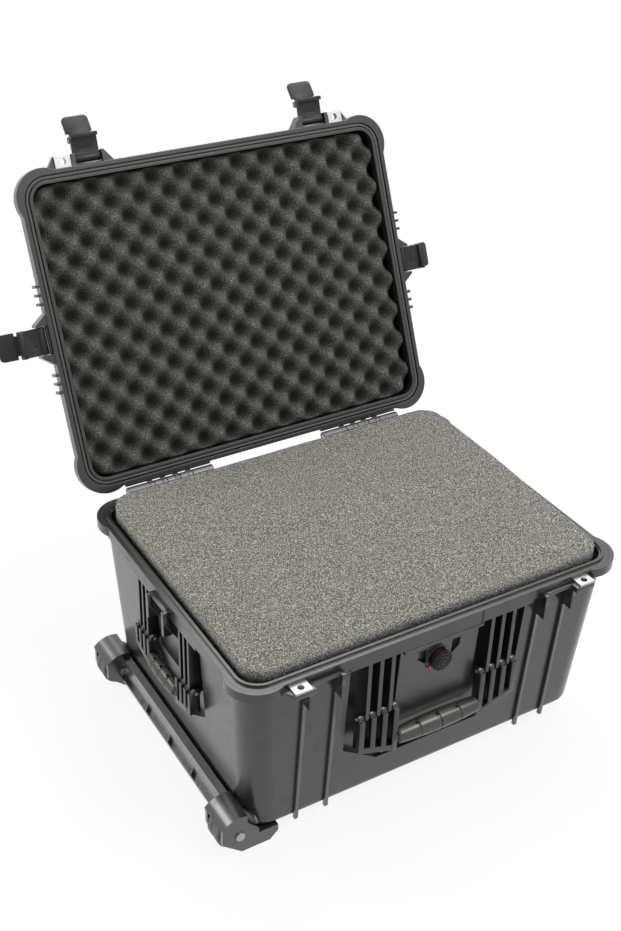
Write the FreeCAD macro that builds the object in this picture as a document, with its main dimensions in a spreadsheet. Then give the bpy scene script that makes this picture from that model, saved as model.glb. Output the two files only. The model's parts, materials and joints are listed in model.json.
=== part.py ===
import FreeCAD, Part
import math
import os
import re
import Sketcher

# Wheeled protective case: base and lid shells, foam, four two-piece latches, three fold-down handles,
# two wheels on a bracket along the left edge, and a pull-out tow handle under the floor.
# Frame: +X right along the front, +Y to the hinges, +Z up, origin on the ground under the middle.

Vector = FreeCAD.Vector
Rotation = FreeCAD.Rotation
Placement = FreeCAD.Placement

# Driving dimensions in millimetres and degrees. Heights are above the ground unless a name says
# drop (below the rim) or rise (above the rim). Depths run inward from the outer face of the rim,
# and reaches run outward from it.
SIZES = {
    # Base shell
    "rim_length": 585.0,
    "rim_width": 452.0,
    "rim_corner": 40.0,
    "rim_height": 283.0,
    "floor_height": 22.0,
    "floor_thickness": 5.0,
    "flange_height": 16.0,
    "flange_overhang": 8.0,
    "wall_thickness": 5.0,
    "wall_lean": 14.0,
    "tub_corner": 36.0,
    "tub_edge_round": 12.0,
    "core_corner": 30.0,
    "core_edge_round": 8.0,
    "tongue_inset": 7.5,
    "tongue_width": 4.0,
    "tongue_height": 3.0,
    "bumper_radius": 42.0,
    "bumper_setback": 37.0,
    "bumper_height": 14.0,
    # Lid shell and seal
    "lid_height": 64.0,
    "lid_top_thickness": 4.5,
    "lid_lean": 6.0,
    "lid_edge_round": 14.0,
    "lid_rim_width": 17.5,
    "lid_panel_corner": 26.0,
    "lid_open_angle": 114.0,
    "lid_rib_reach": 6.0,
    "lid_rib_thickness": 4.0,
    "lid_panel_inset": 46.0,
    "lid_panel_height": 2.0,
    "parting_gap": 0.3,
    "groove_inset": 6.0,
    "groove_width": 7.0,
    "groove_depth": 7.0,
    "gasket_height": 3.5,
    "gasket_gap": 0.3,
    # Hinge
    "hinge_offset": 12.0,
    "hinge_drop": 1.0,
    "hinge_place": 164.0,
    "hinge_length": 136.0,
    "hinge_sleeve": 33.0,
    "lid_knuckle": 7.0,
    "knuckle_gap": 0.75,
    "barrel_radius": 7.5,
    "hinge_pin_radius": 3.0,
    "pin_clearance": 0.05,
    # Handle bays in the front and side walls
    "front_bay_half": 137.0,
    "front_bay_foot": 82.0,
    "front_tongue_half": 62.0,
    "side_bay_half": 92.0,
    "side_bay_foot": 50.0,
    "side_tongue_half": 36.0,
    "bay_depth": 26.0,
    "bay_wall": 5.0,
    "front_bay_bottom": 72.0,
    "side_bay_bottom": 108.0,
    "front_bay_shelf": 142.0,
    "side_bay_shelf": 171.0,
    "front_corner_rise": 40.0,
    "side_corner_rise": 30.0,
    "bay_drop": 21.0,
    "band_margin": 6.0,
    "front_rib_first": 78.0,
    "front_rib_pitch": 17.5,
    "front_rib_thickness": 5.5,
    "side_rib_first": 50.0,
    "side_rib_pitch": 12.5,
    "side_rib_thickness": 4.0,
    # Fold-down handles
    "front_pivot_height": 170.0,
    "side_pivot_height": 177.0,
    "pivot_depth": 7.0,
    "handle_knuckle": 6.5,
    "handle_pin_radius": 2.5,
    "pin_overhang": 1.5,
    "front_arm_thickness": 7.5,
    "side_arm_thickness": 6.0,
    "arm_near": -3.0,
    "arm_far": 12.0,
    "front_handle_foot": 97.0,
    "side_handle_foot": 131.0,
    "front_handle_rise": 20.0,
    "side_handle_rise": 12.0,
    "strut_height": 9.0,
    "front_grip_height": 119.0,
    "side_grip_height": 149.0,
    "bar_thickness": 9.0,
    "grip_thickness": 25.0,
    "grip_round": 11.5,
    "grip_end_gap": 0.5,
    # Latches and their catches
    "front_latch_place": 181.5,
    "latch_bay_half": 20.0,
    "bracket_thickness": 6.0,
    "bracket_reach": 10.0,
    "bracket_top_drop": 10.0,
    "bracket_face_drop": 26.0,
    "bracket_foot_drop": 63.0,
    "wall_rib_thickness": 5.0,
    "wall_rib_reach": 4.5,
    "wall_rib_drop": 41.0,
    "ledge_reach": 5.0,
    "ledge_top_drop": 9.0,
    "ledge_drop": 15.0,
    "latch_half_width": 19.0,
    "latch_pivot_reach": 9.0,
    "latch_pivot_rise": 13.0,
    "latch_knuckle": 6.0,
    "latch_pin_radius": 2.5,
    "frame_reach": 13.0,
    "frame_thickness": 6.0,
    "hook_gap": 0.5,
    "hook_thickness": 5.5,
    "hook_tip_reach": 1.0,
    "lever_pivot_reach": 18.5,
    "lever_pivot_drop": 13.0,
    "lever_knuckle": 4.5,
    "lever_pin_radius": 1.75,
    "lever_neck_half": 14.0,
    "lever_side_gap": 0.5,
    "lever_thickness": 5.5,
    "lever_bend_drop": 25.0,
    "lever_tip_drop": 47.0,
    "lever_flare": 5.0,
    "lever_tip_round": 6.0,
    "frame_slot_half": 8.0,
    "frame_slot_height": 4.0,
    "latch_open_angle": 85.0,
    "lever_rest_angle": 15.0,
    "lug_reach": 17.0,
    "lug_tip": 3.0,
    "lug_flare": 13.0,
    "lug_low_rise": 3.0,
    "lug_high_rise": 22.0,
    # Padlock plates
    "plate_width": 24.0,
    "plate_reach": 17.0,
    "plate_thickness": 3.0,
    "plate_offset": 5.0,
    "padlock_radius": 4.5,
    "padlock_reach": 8.5,
    "padlock_relief": 1.5,
    "shelf_height": 8.0,
    "shelf_flare": 12.0,
    # Label recess and pressure valve
    "label_half": 60.0,
    "label_depth": 1.2,
    "label_top_drop": 2.0,
    "label_drop": 25.0,
    "label_margin": 5.0,
    "valve_drop": 42.0,
    "valve_boss_radius": 19.0,
    "valve_boss_depth": 9.0,
    "valve_boss_length": 13.0,
    "valve_shank_radius": 8.0,
    "valve_bore_radius": 5.0,
    "valve_flange_radius": 12.5,
    "valve_flange_length": 2.0,
    "valve_seal_radius": 15.0,
    "valve_seal_length": 1.6,
    "valve_cap_radius": 15.5,
    "valve_cap_length": 6.0,
    "valve_step_radius": 11.0,
    "valve_step_length": 1.5,
    "valve_crown_radius": 6.5,
    "valve_crown_length": 1.0,
    "valve_nut_radius": 14.0,
    "valve_nut_length": 6.0,
    "valve_membrane_length": 1.5,
    "pocket_near": 20.0,
    "pocket_far": 33.0,
    "pocket_rise": 22.0,
    "pocket_step": 8.0,
    "pocket_fall": 4.0,
    "pocket_depth": 16.5,
    "pocket_wall": 3.0,
    # Foam
    "foam_gap": 1.0,
    "foam_corner": 30.0,
    "foam_round": 6.0,
    "foam_stand": 13.0,
    "foam_upper_depth": 75.0,
    "foam_pad_thickness": 25.0,
    "lid_foam_recess": 15.0,
    "dimple_pitch_x": 46.0,
    "dimple_pitch_y": 48.6,
    "dimple_radius": 15.5,
    "dimple_depth": 11.0,
    # Wheels and their bracket
    "wheel_radius": 28.0,
    "wheel_width": 30.0,
    "wheel_place_x": 287.0,
    "wheel_place_y": 181.5,
    "wheel_height": 30.0,
    "wheel_round": 3.0,
    "well_gap": 3.0,
    "wheel_bore": 8.0,
    "bearing_width": 7.0,
    "axle_radius": 4.0,
    "axle_head_radius": 6.5,
    "axle_head_length": 2.5,
    "housing_width": 49.0,
    "cheek_thickness": 6.0,
    "cover_radius": 33.0,
    "cover_thickness": 3.5,
    "cover_low": 50.0,
    "cheek_left": 312.0,
    "cheek_cut": 28.0,
    "cheek_cut_height": 25.0,
    "bracket_clear": 3.5,
    "tongue_end": 230.0,
    "tongue_cut": 12.0,
    "gusset_end": 259.0,
    "gusset_low": 31.0,
    "gusset_high": 50.0,
    "rail_web": 3.0,
    "rail_place": 287.0,
    "rail_top": 54.0,
    "rail_lip": 5.0,
    "rail_rib_pitch": 72.0,
    "rail_rib_height": 14.0,
    "tray_thickness": 4.0,
    "screw_radius": 2.1,
    "screw_head_radius": 4.0,
    "screw_head_length": 2.5,
    "screw_bite": 3.5,
    "tray_screw_inset": 12.0,
    "tray_screw_pitch": 80.0,
    # Feet and tow handle
    "foot_length": 34.0,
    "foot_width": 40.0,
    "foot_place_x": 228.0,
    "foot_place_y": 148.0,
    "foot_round": 6.0,
    "tow_place": 60.0,
    "tow_height": 11.0,
    "tow_rod_radius": 5.0,
    "tow_tube_radius": 7.5,
    "tow_clearance": 0.08,
    "tow_tube_start": 190.0,
    "tow_tube_end": 232.0,
    "tow_rod_start": 182.0,
    "tow_grip_start": 244.0,
    "tow_grip_depth": 22.0,
    "tow_grip_half": 78.0,
    "tow_grip_height": 18.0,
    "tow_grip_round": 7.0,
    "tow_socket": 12.0,
    "saddle_length": 20.0,
    "saddle_half": 20.0,
    "saddle_left": 160.0,
    "saddle_right": 205.0,
    "saddle_lift": 1.5,
    "saddle_screw": 14.0,
    # Overlap of joined volumes and overrun of cuts
    "overlap": 1.0,
    "overrun": 20.0,
}

# Repeats of the handles, ribs and hinge knuckles
ARM_COUNT = 4
RIB_COUNT = 3
LID_KNUCKLES = 4

doc = FreeCAD.newDocument("ProtectiveCase")
sheet = doc.addObject("Spreadsheet::Sheet", "Sizes")
for row, (alias, size) in enumerate(SIZES.items(), 1):
    sheet.set(f"A{row}", alias)
    sheet.set(f"B{row}", str(size))
    sheet.setAlias(f"B{row}", alias)
doc.recompute()

NODES = {}


def formula(text):
    """Turn plain size names into references to the sheet."""

    def refer(match):
        word = match.group(0)
        return f"Sizes.{word}" if word in SIZES else word

    return re.sub(r"[a-z_][a-z_0-9]*", refer, str(text))


def value(text):
    """Number that a formula of size names gives."""
    return float(sheet.evalExpression(formula(text)))


def bind(item, prop, text):
    """Drive one property of an object from the sheet."""
    item.setExpression(prop, formula(text))


def span(centre, width):
    """Low and high ends of a width about a centre."""
    return f"({centre}) - ({width}) / 2", f"({centre}) + ({width}) / 2"


def keep(label, item):
    """Name a finished sub-part; its label names its file."""
    item.Label = label
    NODES[label] = item
    return item


def box(name, x, y, z):
    """Block between three pairs of formulas."""
    item = doc.addObject("Part::Box", name)
    for prop, axis, (low, high) in (("Length", "x", x), ("Width", "y", y), ("Height", "z", z)):
        bind(item, prop, f"({high}) - ({low})")
        bind(item, f"Placement.Base.{axis}", low)
    return item


TURNS = {
    "x": Rotation(Vector(0, 1, 0), 90),
    "y": Rotation(Vector(1, 0, 0), -90),
    "z": Rotation(),
}


def rod(name, axis, centre, radius, ends):
    """Cylinder along an axis; centre holds the two other coordinates in order."""
    item = doc.addObject("Part::Cylinder", name)
    item.Placement = Placement(Vector(), TURNS[axis])
    others = [letter for letter in "xyz" if letter != axis]
    for letter, place in zip(others, centre):
        bind(item, f"Placement.Base.{letter}", place)
    bind(item, f"Placement.Base.{axis}", ends[0])
    bind(item, "Radius", radius)
    bind(item, "Height", f"({ends[1]}) - ({ends[0]})")
    return item


def fuse(name, items):
    """Join volumes into one."""
    joined = doc.addObject("Part::MultiFuse", name)
    joined.Shapes = items
    joined.Refine = True
    return joined


def cut(name, base, tools):
    """Take the tools out of the base."""
    result = doc.addObject("Part::Cut", name)
    result.Base = base
    result.Tool = tools[0] if len(tools) == 1 else fuse(f"{name}_tools", tools)
    return result


def common(name, first, second):
    """Volume that two objects share."""
    result = doc.addObject("Part::Common", name)
    result.Base = first
    result.Tool = second
    return result


def group(name, items):
    """Separate solids of one node."""
    result = doc.addObject("Part::Compound", name)
    result.Links = items
    return result


def sketch_on(body, name, role):
    """Sketch on one of the body's own origin planes."""
    plane = next(item for item in body.Origin.OriginFeatures if item.Role == role)
    sketch = body.newObject("Sketcher::SketchObject", name)
    sketch.AttachmentSupport = [(plane, "")]
    sketch.MapMode = "FlatFace"
    return sketch


def outline(sketch, points):
    """Closed outline whose every corner is tied to the sheet."""
    places = [Vector(value(x), value(y), 0) for x, y in points]
    count = len(places)
    for index in range(count):
        following = places[(index + 1) % count]
        sketch.addGeometry(Part.LineSegment(places[index], following), False)
    for index in range(count):
        sketch.addConstraint(Sketcher.Constraint("Coincident", index, 2, (index + 1) % count, 1))
    for index, (x, y) in enumerate(points):
        across = Sketcher.Constraint("DistanceX", -1, 1, index, 1, places[index].x)
        number = sketch.addConstraint(across)
        bind(sketch, f"Constraints[{number}]", x)
        along = Sketcher.Constraint("DistanceY", -1, 1, index, 1, places[index].y)
        number = sketch.addConstraint(along)
        bind(sketch, f"Constraints[{number}]", y)


def round_edges(body, feature, radius, wanted):
    """Fillet the feature's edges that the test picks."""
    doc.recompute()
    names = [f"Edge{number}" for number, edge in enumerate(feature.Shape.Edges, 1) if wanted(edge)]
    fillet = body.newObject("PartDesign::Fillet", f"{body.Name}_round")
    fillet.Base = (feature, names)
    bind(fillet, "Radius", radius)
    return fillet


def runs_along(direction):
    """Test for edges that run along a direction, up to a draft."""

    def wanted(edge):
        if len(edge.Vertexes) < 2:
            return False
        chord = edge.Vertexes[1].Point - edge.Vertexes[0].Point
        return abs(chord.dot(direction)) > chord.Length * math.cos(math.pi / 8)

    return wanted


def prism(name, plane, points, ends, rounding=None):
    """Outline in the XY, XZ or YZ plane, padded between two ends along the third axis."""
    body = doc.addObject("PartDesign::Body", name)
    sketch = sketch_on(body, f"{name}_outline", f"{plane}_Plane")
    outline(sketch, points)
    start = f"-({ends[1]})" if plane == "XZ" else ends[0]
    bind(sketch, "AttachmentOffset.Base.z", start)
    pad = body.newObject("PartDesign::Pad", f"{name}_pad")
    pad.Profile = sketch
    bind(pad, "Length", f"({ends[1]}) - ({ends[0]})")
    if rounding:
        normal = {"XY": Vector(0, 0, 1), "XZ": Vector(0, 1, 0), "YZ": Vector(1, 0, 0)}[plane]
        round_edges(body, pad, rounding, runs_along(normal))
    return body


def tapered_block(name, half_x, half_y, start, height, lean, corner, rounding=None, up=True):
    """Rounded rectangle padded up or down from a height, drawn in by the lean at its far end."""
    body = doc.addObject("PartDesign::Body", name)
    sketch = sketch_on(body, f"{name}_outline", "XY_Plane")
    corners = [(f"-({half_x})", f"-({half_y})"), (half_x, f"-({half_y})"), (half_x, half_y)]
    outline(sketch, corners + [(f"-({half_x})", half_y)])
    bind(sketch, "AttachmentOffset.Base.z", start)
    pad = body.newObject("PartDesign::Pad", f"{name}_pad")
    pad.Profile = sketch
    pad.Reversed = not up
    bind(pad, "Length", height)
    bind(pad, "TaperAngle", f"-atan(({lean}) / ({height}))")
    tip = round_edges(body, pad, corner, runs_along(Vector(0, 0, 1)))
    if rounding:
        far = value(f"({start}) + ({height})") if up else value(f"({start}) - ({height})")
        slack = value("parting_gap")

        def at_far_end(edge):
            return all(abs(vertex.Z - far) < slack for vertex in edge.Vertexes)

        round_edges(body, tip, rounding, at_far_end)
    return body


def turn_about(axis, centre, angle):
    """Placement that turns by an angle about a line through a point."""
    return Placement(Vector(), Rotation(axis, angle), centre)


# Each side wall is drawn as if seen from the front: x along the wall, y inward from the rim's face.
SIDES = {
    "front": Placement(Vector(0, -value("rim_width / 2"), 0), Rotation()),
    "left": Placement(Vector(-value("rim_length / 2"), 0, 0), Rotation(Vector(0, 0, 1), -90)),
    "right": Placement(Vector(value("rim_length / 2"), 0, 0), Rotation(Vector(0, 0, 1), 90)),
}
HINGE_Y = "rim_width / 2 + hinge_offset"
HINGE_Z = "rim_height - hinge_drop"
LID_OPEN = turn_about(Vector(1, 0, 0), Vector(0, value(HINGE_Y), value(HINGE_Z)), -value("lid_open_angle"))
LEAN_SHARE = "(wall_lean / (rim_height - flange_height - floor_height))"
BAY_TOP = "rim_height - bay_drop"
LID_BASE = "rim_height + parting_gap"
VALVE_HEIGHT = f"({BAY_TOP} - valve_drop)"

# Latches: place along their wall and the wall that carries them.
LATCHES = {
    "front_left": ("front", "-front_latch_place"),
    "front_right": ("front", "front_latch_place"),
    "left": ("left", "0"),
    "right": ("right", "0"),
}


def wall_depth(height):
    """Depth of the tub's outer face at a height."""
    return f"flange_overhang + (rim_height - flange_height - ({height})) * {LEAN_SHARE}"


def ring(name, inset, width, low, high):
    """Band that follows the rim, between two insets from its outer face."""
    sides = []
    for label, depth in (("outer", inset), ("inner", f"{inset} + {width}")):
        half_x = f"rim_length / 2 - ({depth})"
        half_y = f"rim_width / 2 - ({depth})"
        radius = f"rim_corner - ({depth})"
        tall = f"({high}) - ({low})"
        sides.append(tapered_block(f"{name}_{label}", half_x, half_y, low, tall, "0", radius))
    return cut(name, sides[0], sides[1:])


def bumpers(name, low, high):
    """Round corner bumpers of a shell."""
    discs = []
    for right in (-1, 1):
        for back in (-1, 1):
            centre = (
                f"{right} * (rim_length / 2 - bumper_setback)",
                f"{back} * (rim_width / 2 - bumper_setback)",
            )
            discs.append(rod(name, "z", centre, "bumper_radius", (low, high)))
    return discs


def on_side(side, name, items):
    """Join items drawn in a wall's own frame and set them on that wall."""
    joined = fuse(name, items) if len(items) > 1 else group(name, items)
    joined.Placement = SIDES[side]
    return joined


def bay_kind(side):
    """Set of sizes that a wall's handle bay uses."""
    return "front" if side == "front" else "side"


def bay_recess(side):
    """Recess that takes a folded handle: two upright channels over a wide foot with slanted corners."""
    kind = bay_kind(side)
    half = f"{kind}_bay_half"
    foot = f"{kind}_bay_foot"
    low = f"{kind}_bay_bottom"
    shelf = f"{kind}_bay_shelf"
    corner = f"{low} + {kind}_corner_rise"
    deep = ("-overrun", "bay_depth")
    points = [
        (f"-{half}", shelf),
        (f"-{half}", corner),
        (f"-{foot}", low),
        (foot, low),
        (half, corner),
        (half, shelf),
    ]
    channels = [prism(f"bay_foot_{side}", "XZ", points, deep)]
    upright = (f"{shelf} - overlap", BAY_TOP)
    channels.append(box(f"bay_left_{side}", (f"-{half}", f"-{kind}_tongue_half"), deep, upright))
    channels.append(box(f"bay_right_{side}", (f"{kind}_tongue_half", half), deep, upright))
    return on_side(side, f"bay_{side}", channels)


def bay_bulge(side):
    """Inner face of a handle bay, which stands into the cavity."""
    kind = bay_kind(side)
    half = f"({kind}_bay_half + bay_wall)"
    tongue = f"({kind}_tongue_half - bay_wall)"
    deep = ("-overrun", "bay_depth + bay_wall")
    tall = (f"{kind}_bay_bottom - bay_wall", f"{BAY_TOP} + bay_wall")
    low = (f"{kind}_bay_bottom - bay_wall", f"{kind}_bay_shelf + bay_wall")
    blocks = [
        box(f"bulge_foot_{side}", (f"-{half}", half), deep, low),
        box(f"bulge_left_{side}", (f"-{half}", f"-{tongue}"), deep, tall),
        box(f"bulge_right_{side}", (tongue, half), deep, tall),
    ]
    return on_side(side, f"bulge_{side}", blocks)


def bay_band(side):
    """Deeper band of the flange over a handle bay."""
    kind = bay_kind(side)
    half = f"({kind}_bay_half + band_margin)"
    return box(
        f"band_{side}",
        (f"-{half}", half),
        ("0", "flange_overhang + wall_thickness"),
        (BAY_TOP, "rim_height - flange_height + overlap"),
    )


def rib_places(side):
    """Centres of the upright ribs in a handle bay."""
    kind = bay_kind(side)
    places = []
    for hand in (-1, 1):
        for number in range(RIB_COUNT):
            places.append(f"{hand} * ({kind}_rib_first + {number} * {kind}_rib_pitch)")
    return places


def bay_ribs(side):
    """Upright ribs that carry a handle's pins at their lower ends."""
    kind = bay_kind(side)
    pivot = f"{kind}_pivot_height"
    deep = ("pivot_depth - handle_knuckle", "bay_depth + bay_wall / 2")
    tall = (pivot, f"{BAY_TOP} + overlap")
    pieces = []
    for place in rib_places(side):
        wide = span(place, f"{kind}_rib_thickness")
        pieces.append(box(f"rib_{side}", wide, deep, tall))
        pieces.append(rod(f"rib_end_{side}", "x", ("pivot_depth", pivot), "handle_knuckle", wide))
        back = ("pivot_depth", "bay_depth + bay_wall / 2")
        low = (f"{pivot} - handle_knuckle", f"{pivot} + overlap")
        pieces.append(box(f"rib_root_{side}", wide, back, low))
    return on_side(side, f"ribs_{side}", pieces)


def bracket_outline():
    """Side view of a latch bracket: a deep gusset under the flange."""
    root = f"{wall_depth('rim_height - bracket_foot_drop')} + wall_thickness / 2"
    return [
        (root, "rim_height - bracket_top_drop"),
        ("-bracket_reach", "rim_height - bracket_top_drop"),
        ("-bracket_reach", "rim_height - bracket_face_drop"),
        (root, "rim_height - bracket_foot_drop"),
    ]


def wall_rib_outline():
    """Side view of the low rib that runs from a bracket to the floor."""
    top = "rim_height - wall_rib_drop"
    upper = wall_depth(top)
    lower = wall_depth("floor_height")
    return [
        (f"{upper} + overlap", top),
        (f"{upper} - wall_rib_reach", top),
        (f"{lower} - wall_rib_reach", "floor_height - overlap"),
        (f"{lower} + overlap", "floor_height - overlap"),
    ]


def latch_catch(name, side, place):
    """Two brackets, their ribs and the ledge that a latch hooks under."""
    pieces = []
    for hand in (-1, 1):
        centre = f"({place}) + {hand} * (latch_bay_half + bracket_thickness / 2)"
        pieces.append(prism(f"bracket_{name}", "YZ", bracket_outline(), span(centre, "bracket_thickness")))
        if side == "front":
            wide = span(centre, "wall_rib_thickness")
            pieces.append(prism(f"wall_rib_{name}", "YZ", wall_rib_outline(), wide))
    ledge = ("rim_height - ledge_drop", "rim_height - ledge_top_drop")
    along = span(place, "2 * latch_bay_half + overlap")
    pieces.append(box(f"ledge_{name}", along, ("-ledge_reach", "overlap"), ledge))
    return on_side(side, f"catch_{name}", pieces)


def plate_span(hand):
    """Run of a padlock plate along the front, outboard of a front latch."""
    near = "(front_latch_place + latch_bay_half + bracket_thickness)"
    far = f"({near} + plate_width)"
    return (near, far) if hand > 0 else (f"-{far}", f"-{near}")


def padlock_centre(hand):
    """Place of a padlock hole along the front."""
    return f"{hand} * (front_latch_place + latch_bay_half + bracket_thickness + plate_width / 2)"


def padlock_shelf(name, hand, low, high):
    """Shelf that backs a padlock plate, flared into the flange."""
    near = f"{hand} * (front_latch_place + latch_bay_half)"
    far = f"{hand} * (front_latch_place + latch_bay_half + bracket_thickness + plate_width)"
    root = f"{far} + {hand} * shelf_flare"
    points = [
        (near, "overlap"),
        (near, "-plate_reach"),
        (far, "-plate_reach"),
        (root, "0"),
        (root, "overlap"),
    ]
    shelf = prism(name, "XY", points, (low, high))
    shelf.Placement = SIDES["front"]
    return shelf


def padlock_plate(name, hand, low):
    """Steel plate with a padlock hole."""
    slab = box(f"{name}_slab", plate_span(hand), ("-plate_reach", "0"), (low, f"{low} + plate_thickness"))
    return cut(name, slab, [padlock_bore(f"{name}_hole", hand, "padlock_radius")])


def padlock_bore(name, hand, radius):
    """Hole for a padlock, through a plate or wider through its shelf."""
    ends = ("rim_height - overrun", "rim_height + 2 * overrun")
    return rod(name, "z", (padlock_centre(hand), "-padlock_reach"), radius, ends)


PADLOCK_ROOM = "padlock_radius + padlock_relief"


BASE_PLATE_LOW = "rim_height - plate_offset - plate_thickness"
LID_PLATE_LOW = "rim_height + plate_offset"


def hinge_groups():
    """Start of each hinge group along the back."""
    return [f"{hand} * hinge_place - hinge_length / 2" for hand in (-1, 1)]


HINGE_KNUCKLE = (
    "((hinge_length - 2 * hinge_sleeve - 4 * lid_knuckle - 8 * knuckle_gap) / 3)"
)


def lid_knuckle_ends(start, number):
    """Ends of one lid knuckle in a hinge group."""
    step = f"(lid_knuckle + {HINGE_KNUCKLE} + 2 * knuckle_gap)"
    low = f"{start} + hinge_sleeve + knuckle_gap + {number} * {step}"
    return low, f"{low} + lid_knuckle"


def base_barrels(start):
    """Two sleeves and three knuckles of the base in a hinge group."""
    ends = [(start, f"{start} + hinge_sleeve")]
    for number in range(LID_KNUCKLES - 1):
        low = f"{lid_knuckle_ends(start, number)[1]} + knuckle_gap"
        ends.append((low, f"{low} + {HINGE_KNUCKLE}"))
    ends.append((f"{start} + hinge_length - hinge_sleeve", f"{start} + hinge_length"))
    pieces = []
    for wide in ends:
        pieces.append(rod("barrel", "x", (HINGE_Y, HINGE_Z), "barrel_radius", wide))
        deep = ("rim_width / 2 - overlap", HINGE_Y)
        pieces.append(box("barrel_web", wide, deep, (f"{HINGE_Z} - barrel_radius", HINGE_Z)))
    return pieces


def lid_knuckles(start):
    """Narrow knuckles of the lid in a hinge group."""
    pieces = []
    radius = "barrel_radius - hinge_drop / 2"
    for number in range(LID_KNUCKLES):
        wide = lid_knuckle_ends(start, number)
        pieces.append(rod("lid_knuckle", "x", (HINGE_Y, HINGE_Z), radius, wide))
        deep = ("rim_width / 2 - overlap", HINGE_Y)
        pieces.append(box("lid_knuckle_web", wide, deep, (LID_BASE, f"{HINGE_Z} + {radius}")))
    return pieces


def hinge_bore(name, start, radius):
    """Line of a hinge pin through its group."""
    return rod(name, "x", (HINGE_Y, HINGE_Z), radius, (start, f"{start} + hinge_length"))


def well_blocks(name, margin):
    """Blocks round the two wheel wells in the lower left edge, with a margin."""
    blocks = []
    for hand in (-1, 1):
        inner = f"-(wheel_place_x - wheel_radius - well_gap - ({margin}))"
        deep = span(f"{hand} * wheel_place_y", f"housing_width + overlap + 2 * ({margin})")
        top = f"wheel_height + wheel_radius + well_gap + {margin}"
        blocks.append(box(name, ("-rim_length / 2", inner), deep, ("0", top)))
    return blocks


# Base shell
HALF_X = "rim_length / 2"
HALF_Y = "rim_width / 2"
TUB_HEIGHT = "rim_height - flange_height - floor_height"
CORE_INSET = "flange_overhang + wall_thickness"
CORE_HEIGHT = "rim_height - floor_height - floor_thickness"

tub = tapered_block(
    "tub", f"{HALF_X} - flange_overhang", f"{HALF_Y} - flange_overhang", "rim_height - flange_height",
    TUB_HEIGHT, "wall_lean", "tub_corner", "tub_edge_round", up=False,
)
flange = tapered_block(
    "flange", HALF_X, HALF_Y, "rim_height - flange_height", "flange_height", "0", "rim_corner",
)
hull = [tub, flange]
for side in SIDES:
    bands = [bay_band(side)]
    if side == "front":
        label_reach = "(label_half + label_margin)"
        low = ("rim_height - label_drop - label_margin / 2", BAY_TOP)
        bands.append(box("label_panel", (f"-{label_reach}", label_reach), ("0", CORE_INSET), low))
    hull.append(on_side(side, f"band_all_{side}", bands))

core = tapered_block(
    "core", f"{HALF_X} - ({CORE_INSET})", f"{HALF_Y} - ({CORE_INSET})", "rim_height", CORE_HEIGHT,
    f"({CORE_HEIGHT}) * {LEAN_SHARE}", "core_corner", "core_edge_round", up=False,
)
cavity = cut("cavity", core, [bay_bulge(side) for side in SIDES] + well_blocks("well_bulge", "bay_wall"))
hollows = [cavity] + [bay_recess(side) for side in SIDES]
for hand in (-1, 1):
    wide = span(f"{hand} * wheel_place_y", "housing_width + overlap")
    line = ("-wheel_place_x", "wheel_height")
    hollows.append(rod("wheel_well", "y", line, "wheel_radius + well_gap", wide))
solid_base = fuse("base_hull", hull)
walls = cut("base_walls", solid_base, hollows)

additions = [walls] + [bay_ribs(side) for side in SIDES]
additions.append(ring(
    "tongue", "tongue_inset", "tongue_width", "rim_height - overlap", "rim_height + tongue_height",
))
for start in hinge_groups():
    additions += base_barrels(start)
boss_ends = ("valve_boss_depth", "valve_boss_depth + valve_boss_length")
boss = rod("valve_boss", "y", ("0", VALVE_HEIGHT), "valve_boss_radius", boss_ends)
pocket_back = box(
    "pocket_back", ("-pocket_far - pocket_wall", "pocket_far + pocket_wall"),
    ("flange_overhang + wall_thickness", "pocket_depth + pocket_wall"),
    (f"{VALVE_HEIGHT} - pocket_fall - pocket_wall", f"{VALVE_HEIGHT} + pocket_rise + pocket_wall"),
)
additions.append(on_side("front", "valve_seat", [boss, pocket_back]))

bores = []
for side in SIDES:
    kind = bay_kind(side)
    reach = f"({kind}_bay_half - overlap)"
    pivot = ("pivot_depth", f"{kind}_pivot_height")
    line = rod(
        f"pin_bore_{side}", "x", pivot, "handle_pin_radius + pin_clearance",
        (f"-{reach}", f"-{kind}_tongue_half"),
    )
    twin = rod(
        f"pin_bore_twin_{side}", "x", pivot, "handle_pin_radius + pin_clearance",
        (f"{kind}_tongue_half", reach),
    )
    bores.append(on_side(side, f"pin_bores_{side}", [line, twin]))
for start in hinge_groups():
    bores.append(hinge_bore("hinge_bore", start, "hinge_pin_radius + pin_clearance"))
valve_bore = rod(
    "valve_bore", "y", ("0", VALVE_HEIGHT), "valve_shank_radius + pin_clearance",
    ("-overrun", "3 * overrun"),
)
label_cut = box(
    "label_recess", ("-label_half", "label_half"), ("-overrun", "label_depth"),
    ("rim_height - label_drop", "rim_height - label_top_drop"),
)
front_cuts = [valve_bore, label_cut]
for hand in (-1, 1):
    points = [
        (f"{hand} * pocket_near", f"{VALVE_HEIGHT} + pocket_rise"),
        (f"{hand} * pocket_far", f"{VALVE_HEIGHT} + pocket_rise"),
        (f"{hand} * pocket_far", f"{VALVE_HEIGHT} + pocket_step"),
        (f"{hand} * pocket_near", f"{VALVE_HEIGHT} - pocket_fall"),
    ]
    front_cuts.append(prism("valve_pocket", "XZ", points, ("-overrun", "pocket_depth")))
bores.append(on_side("front", "front_cuts", front_cuts))


def tray_screw_places():
    """Places of the screws that hold the wheel bracket under the floor."""
    return [f"({number} - 1.5) * tray_screw_pitch" for number in range(4)]


def saddle_screw_places():
    """Places of the screws that hold the tow saddles under the floor."""
    places = []
    for along in ("-saddle_left", "saddle_right"):
        for hand in (-1, 1):
            for edge in (-1, 1):
                places.append((along, f"{hand} * tow_place + {edge} * saddle_screw"))
    return places


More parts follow.
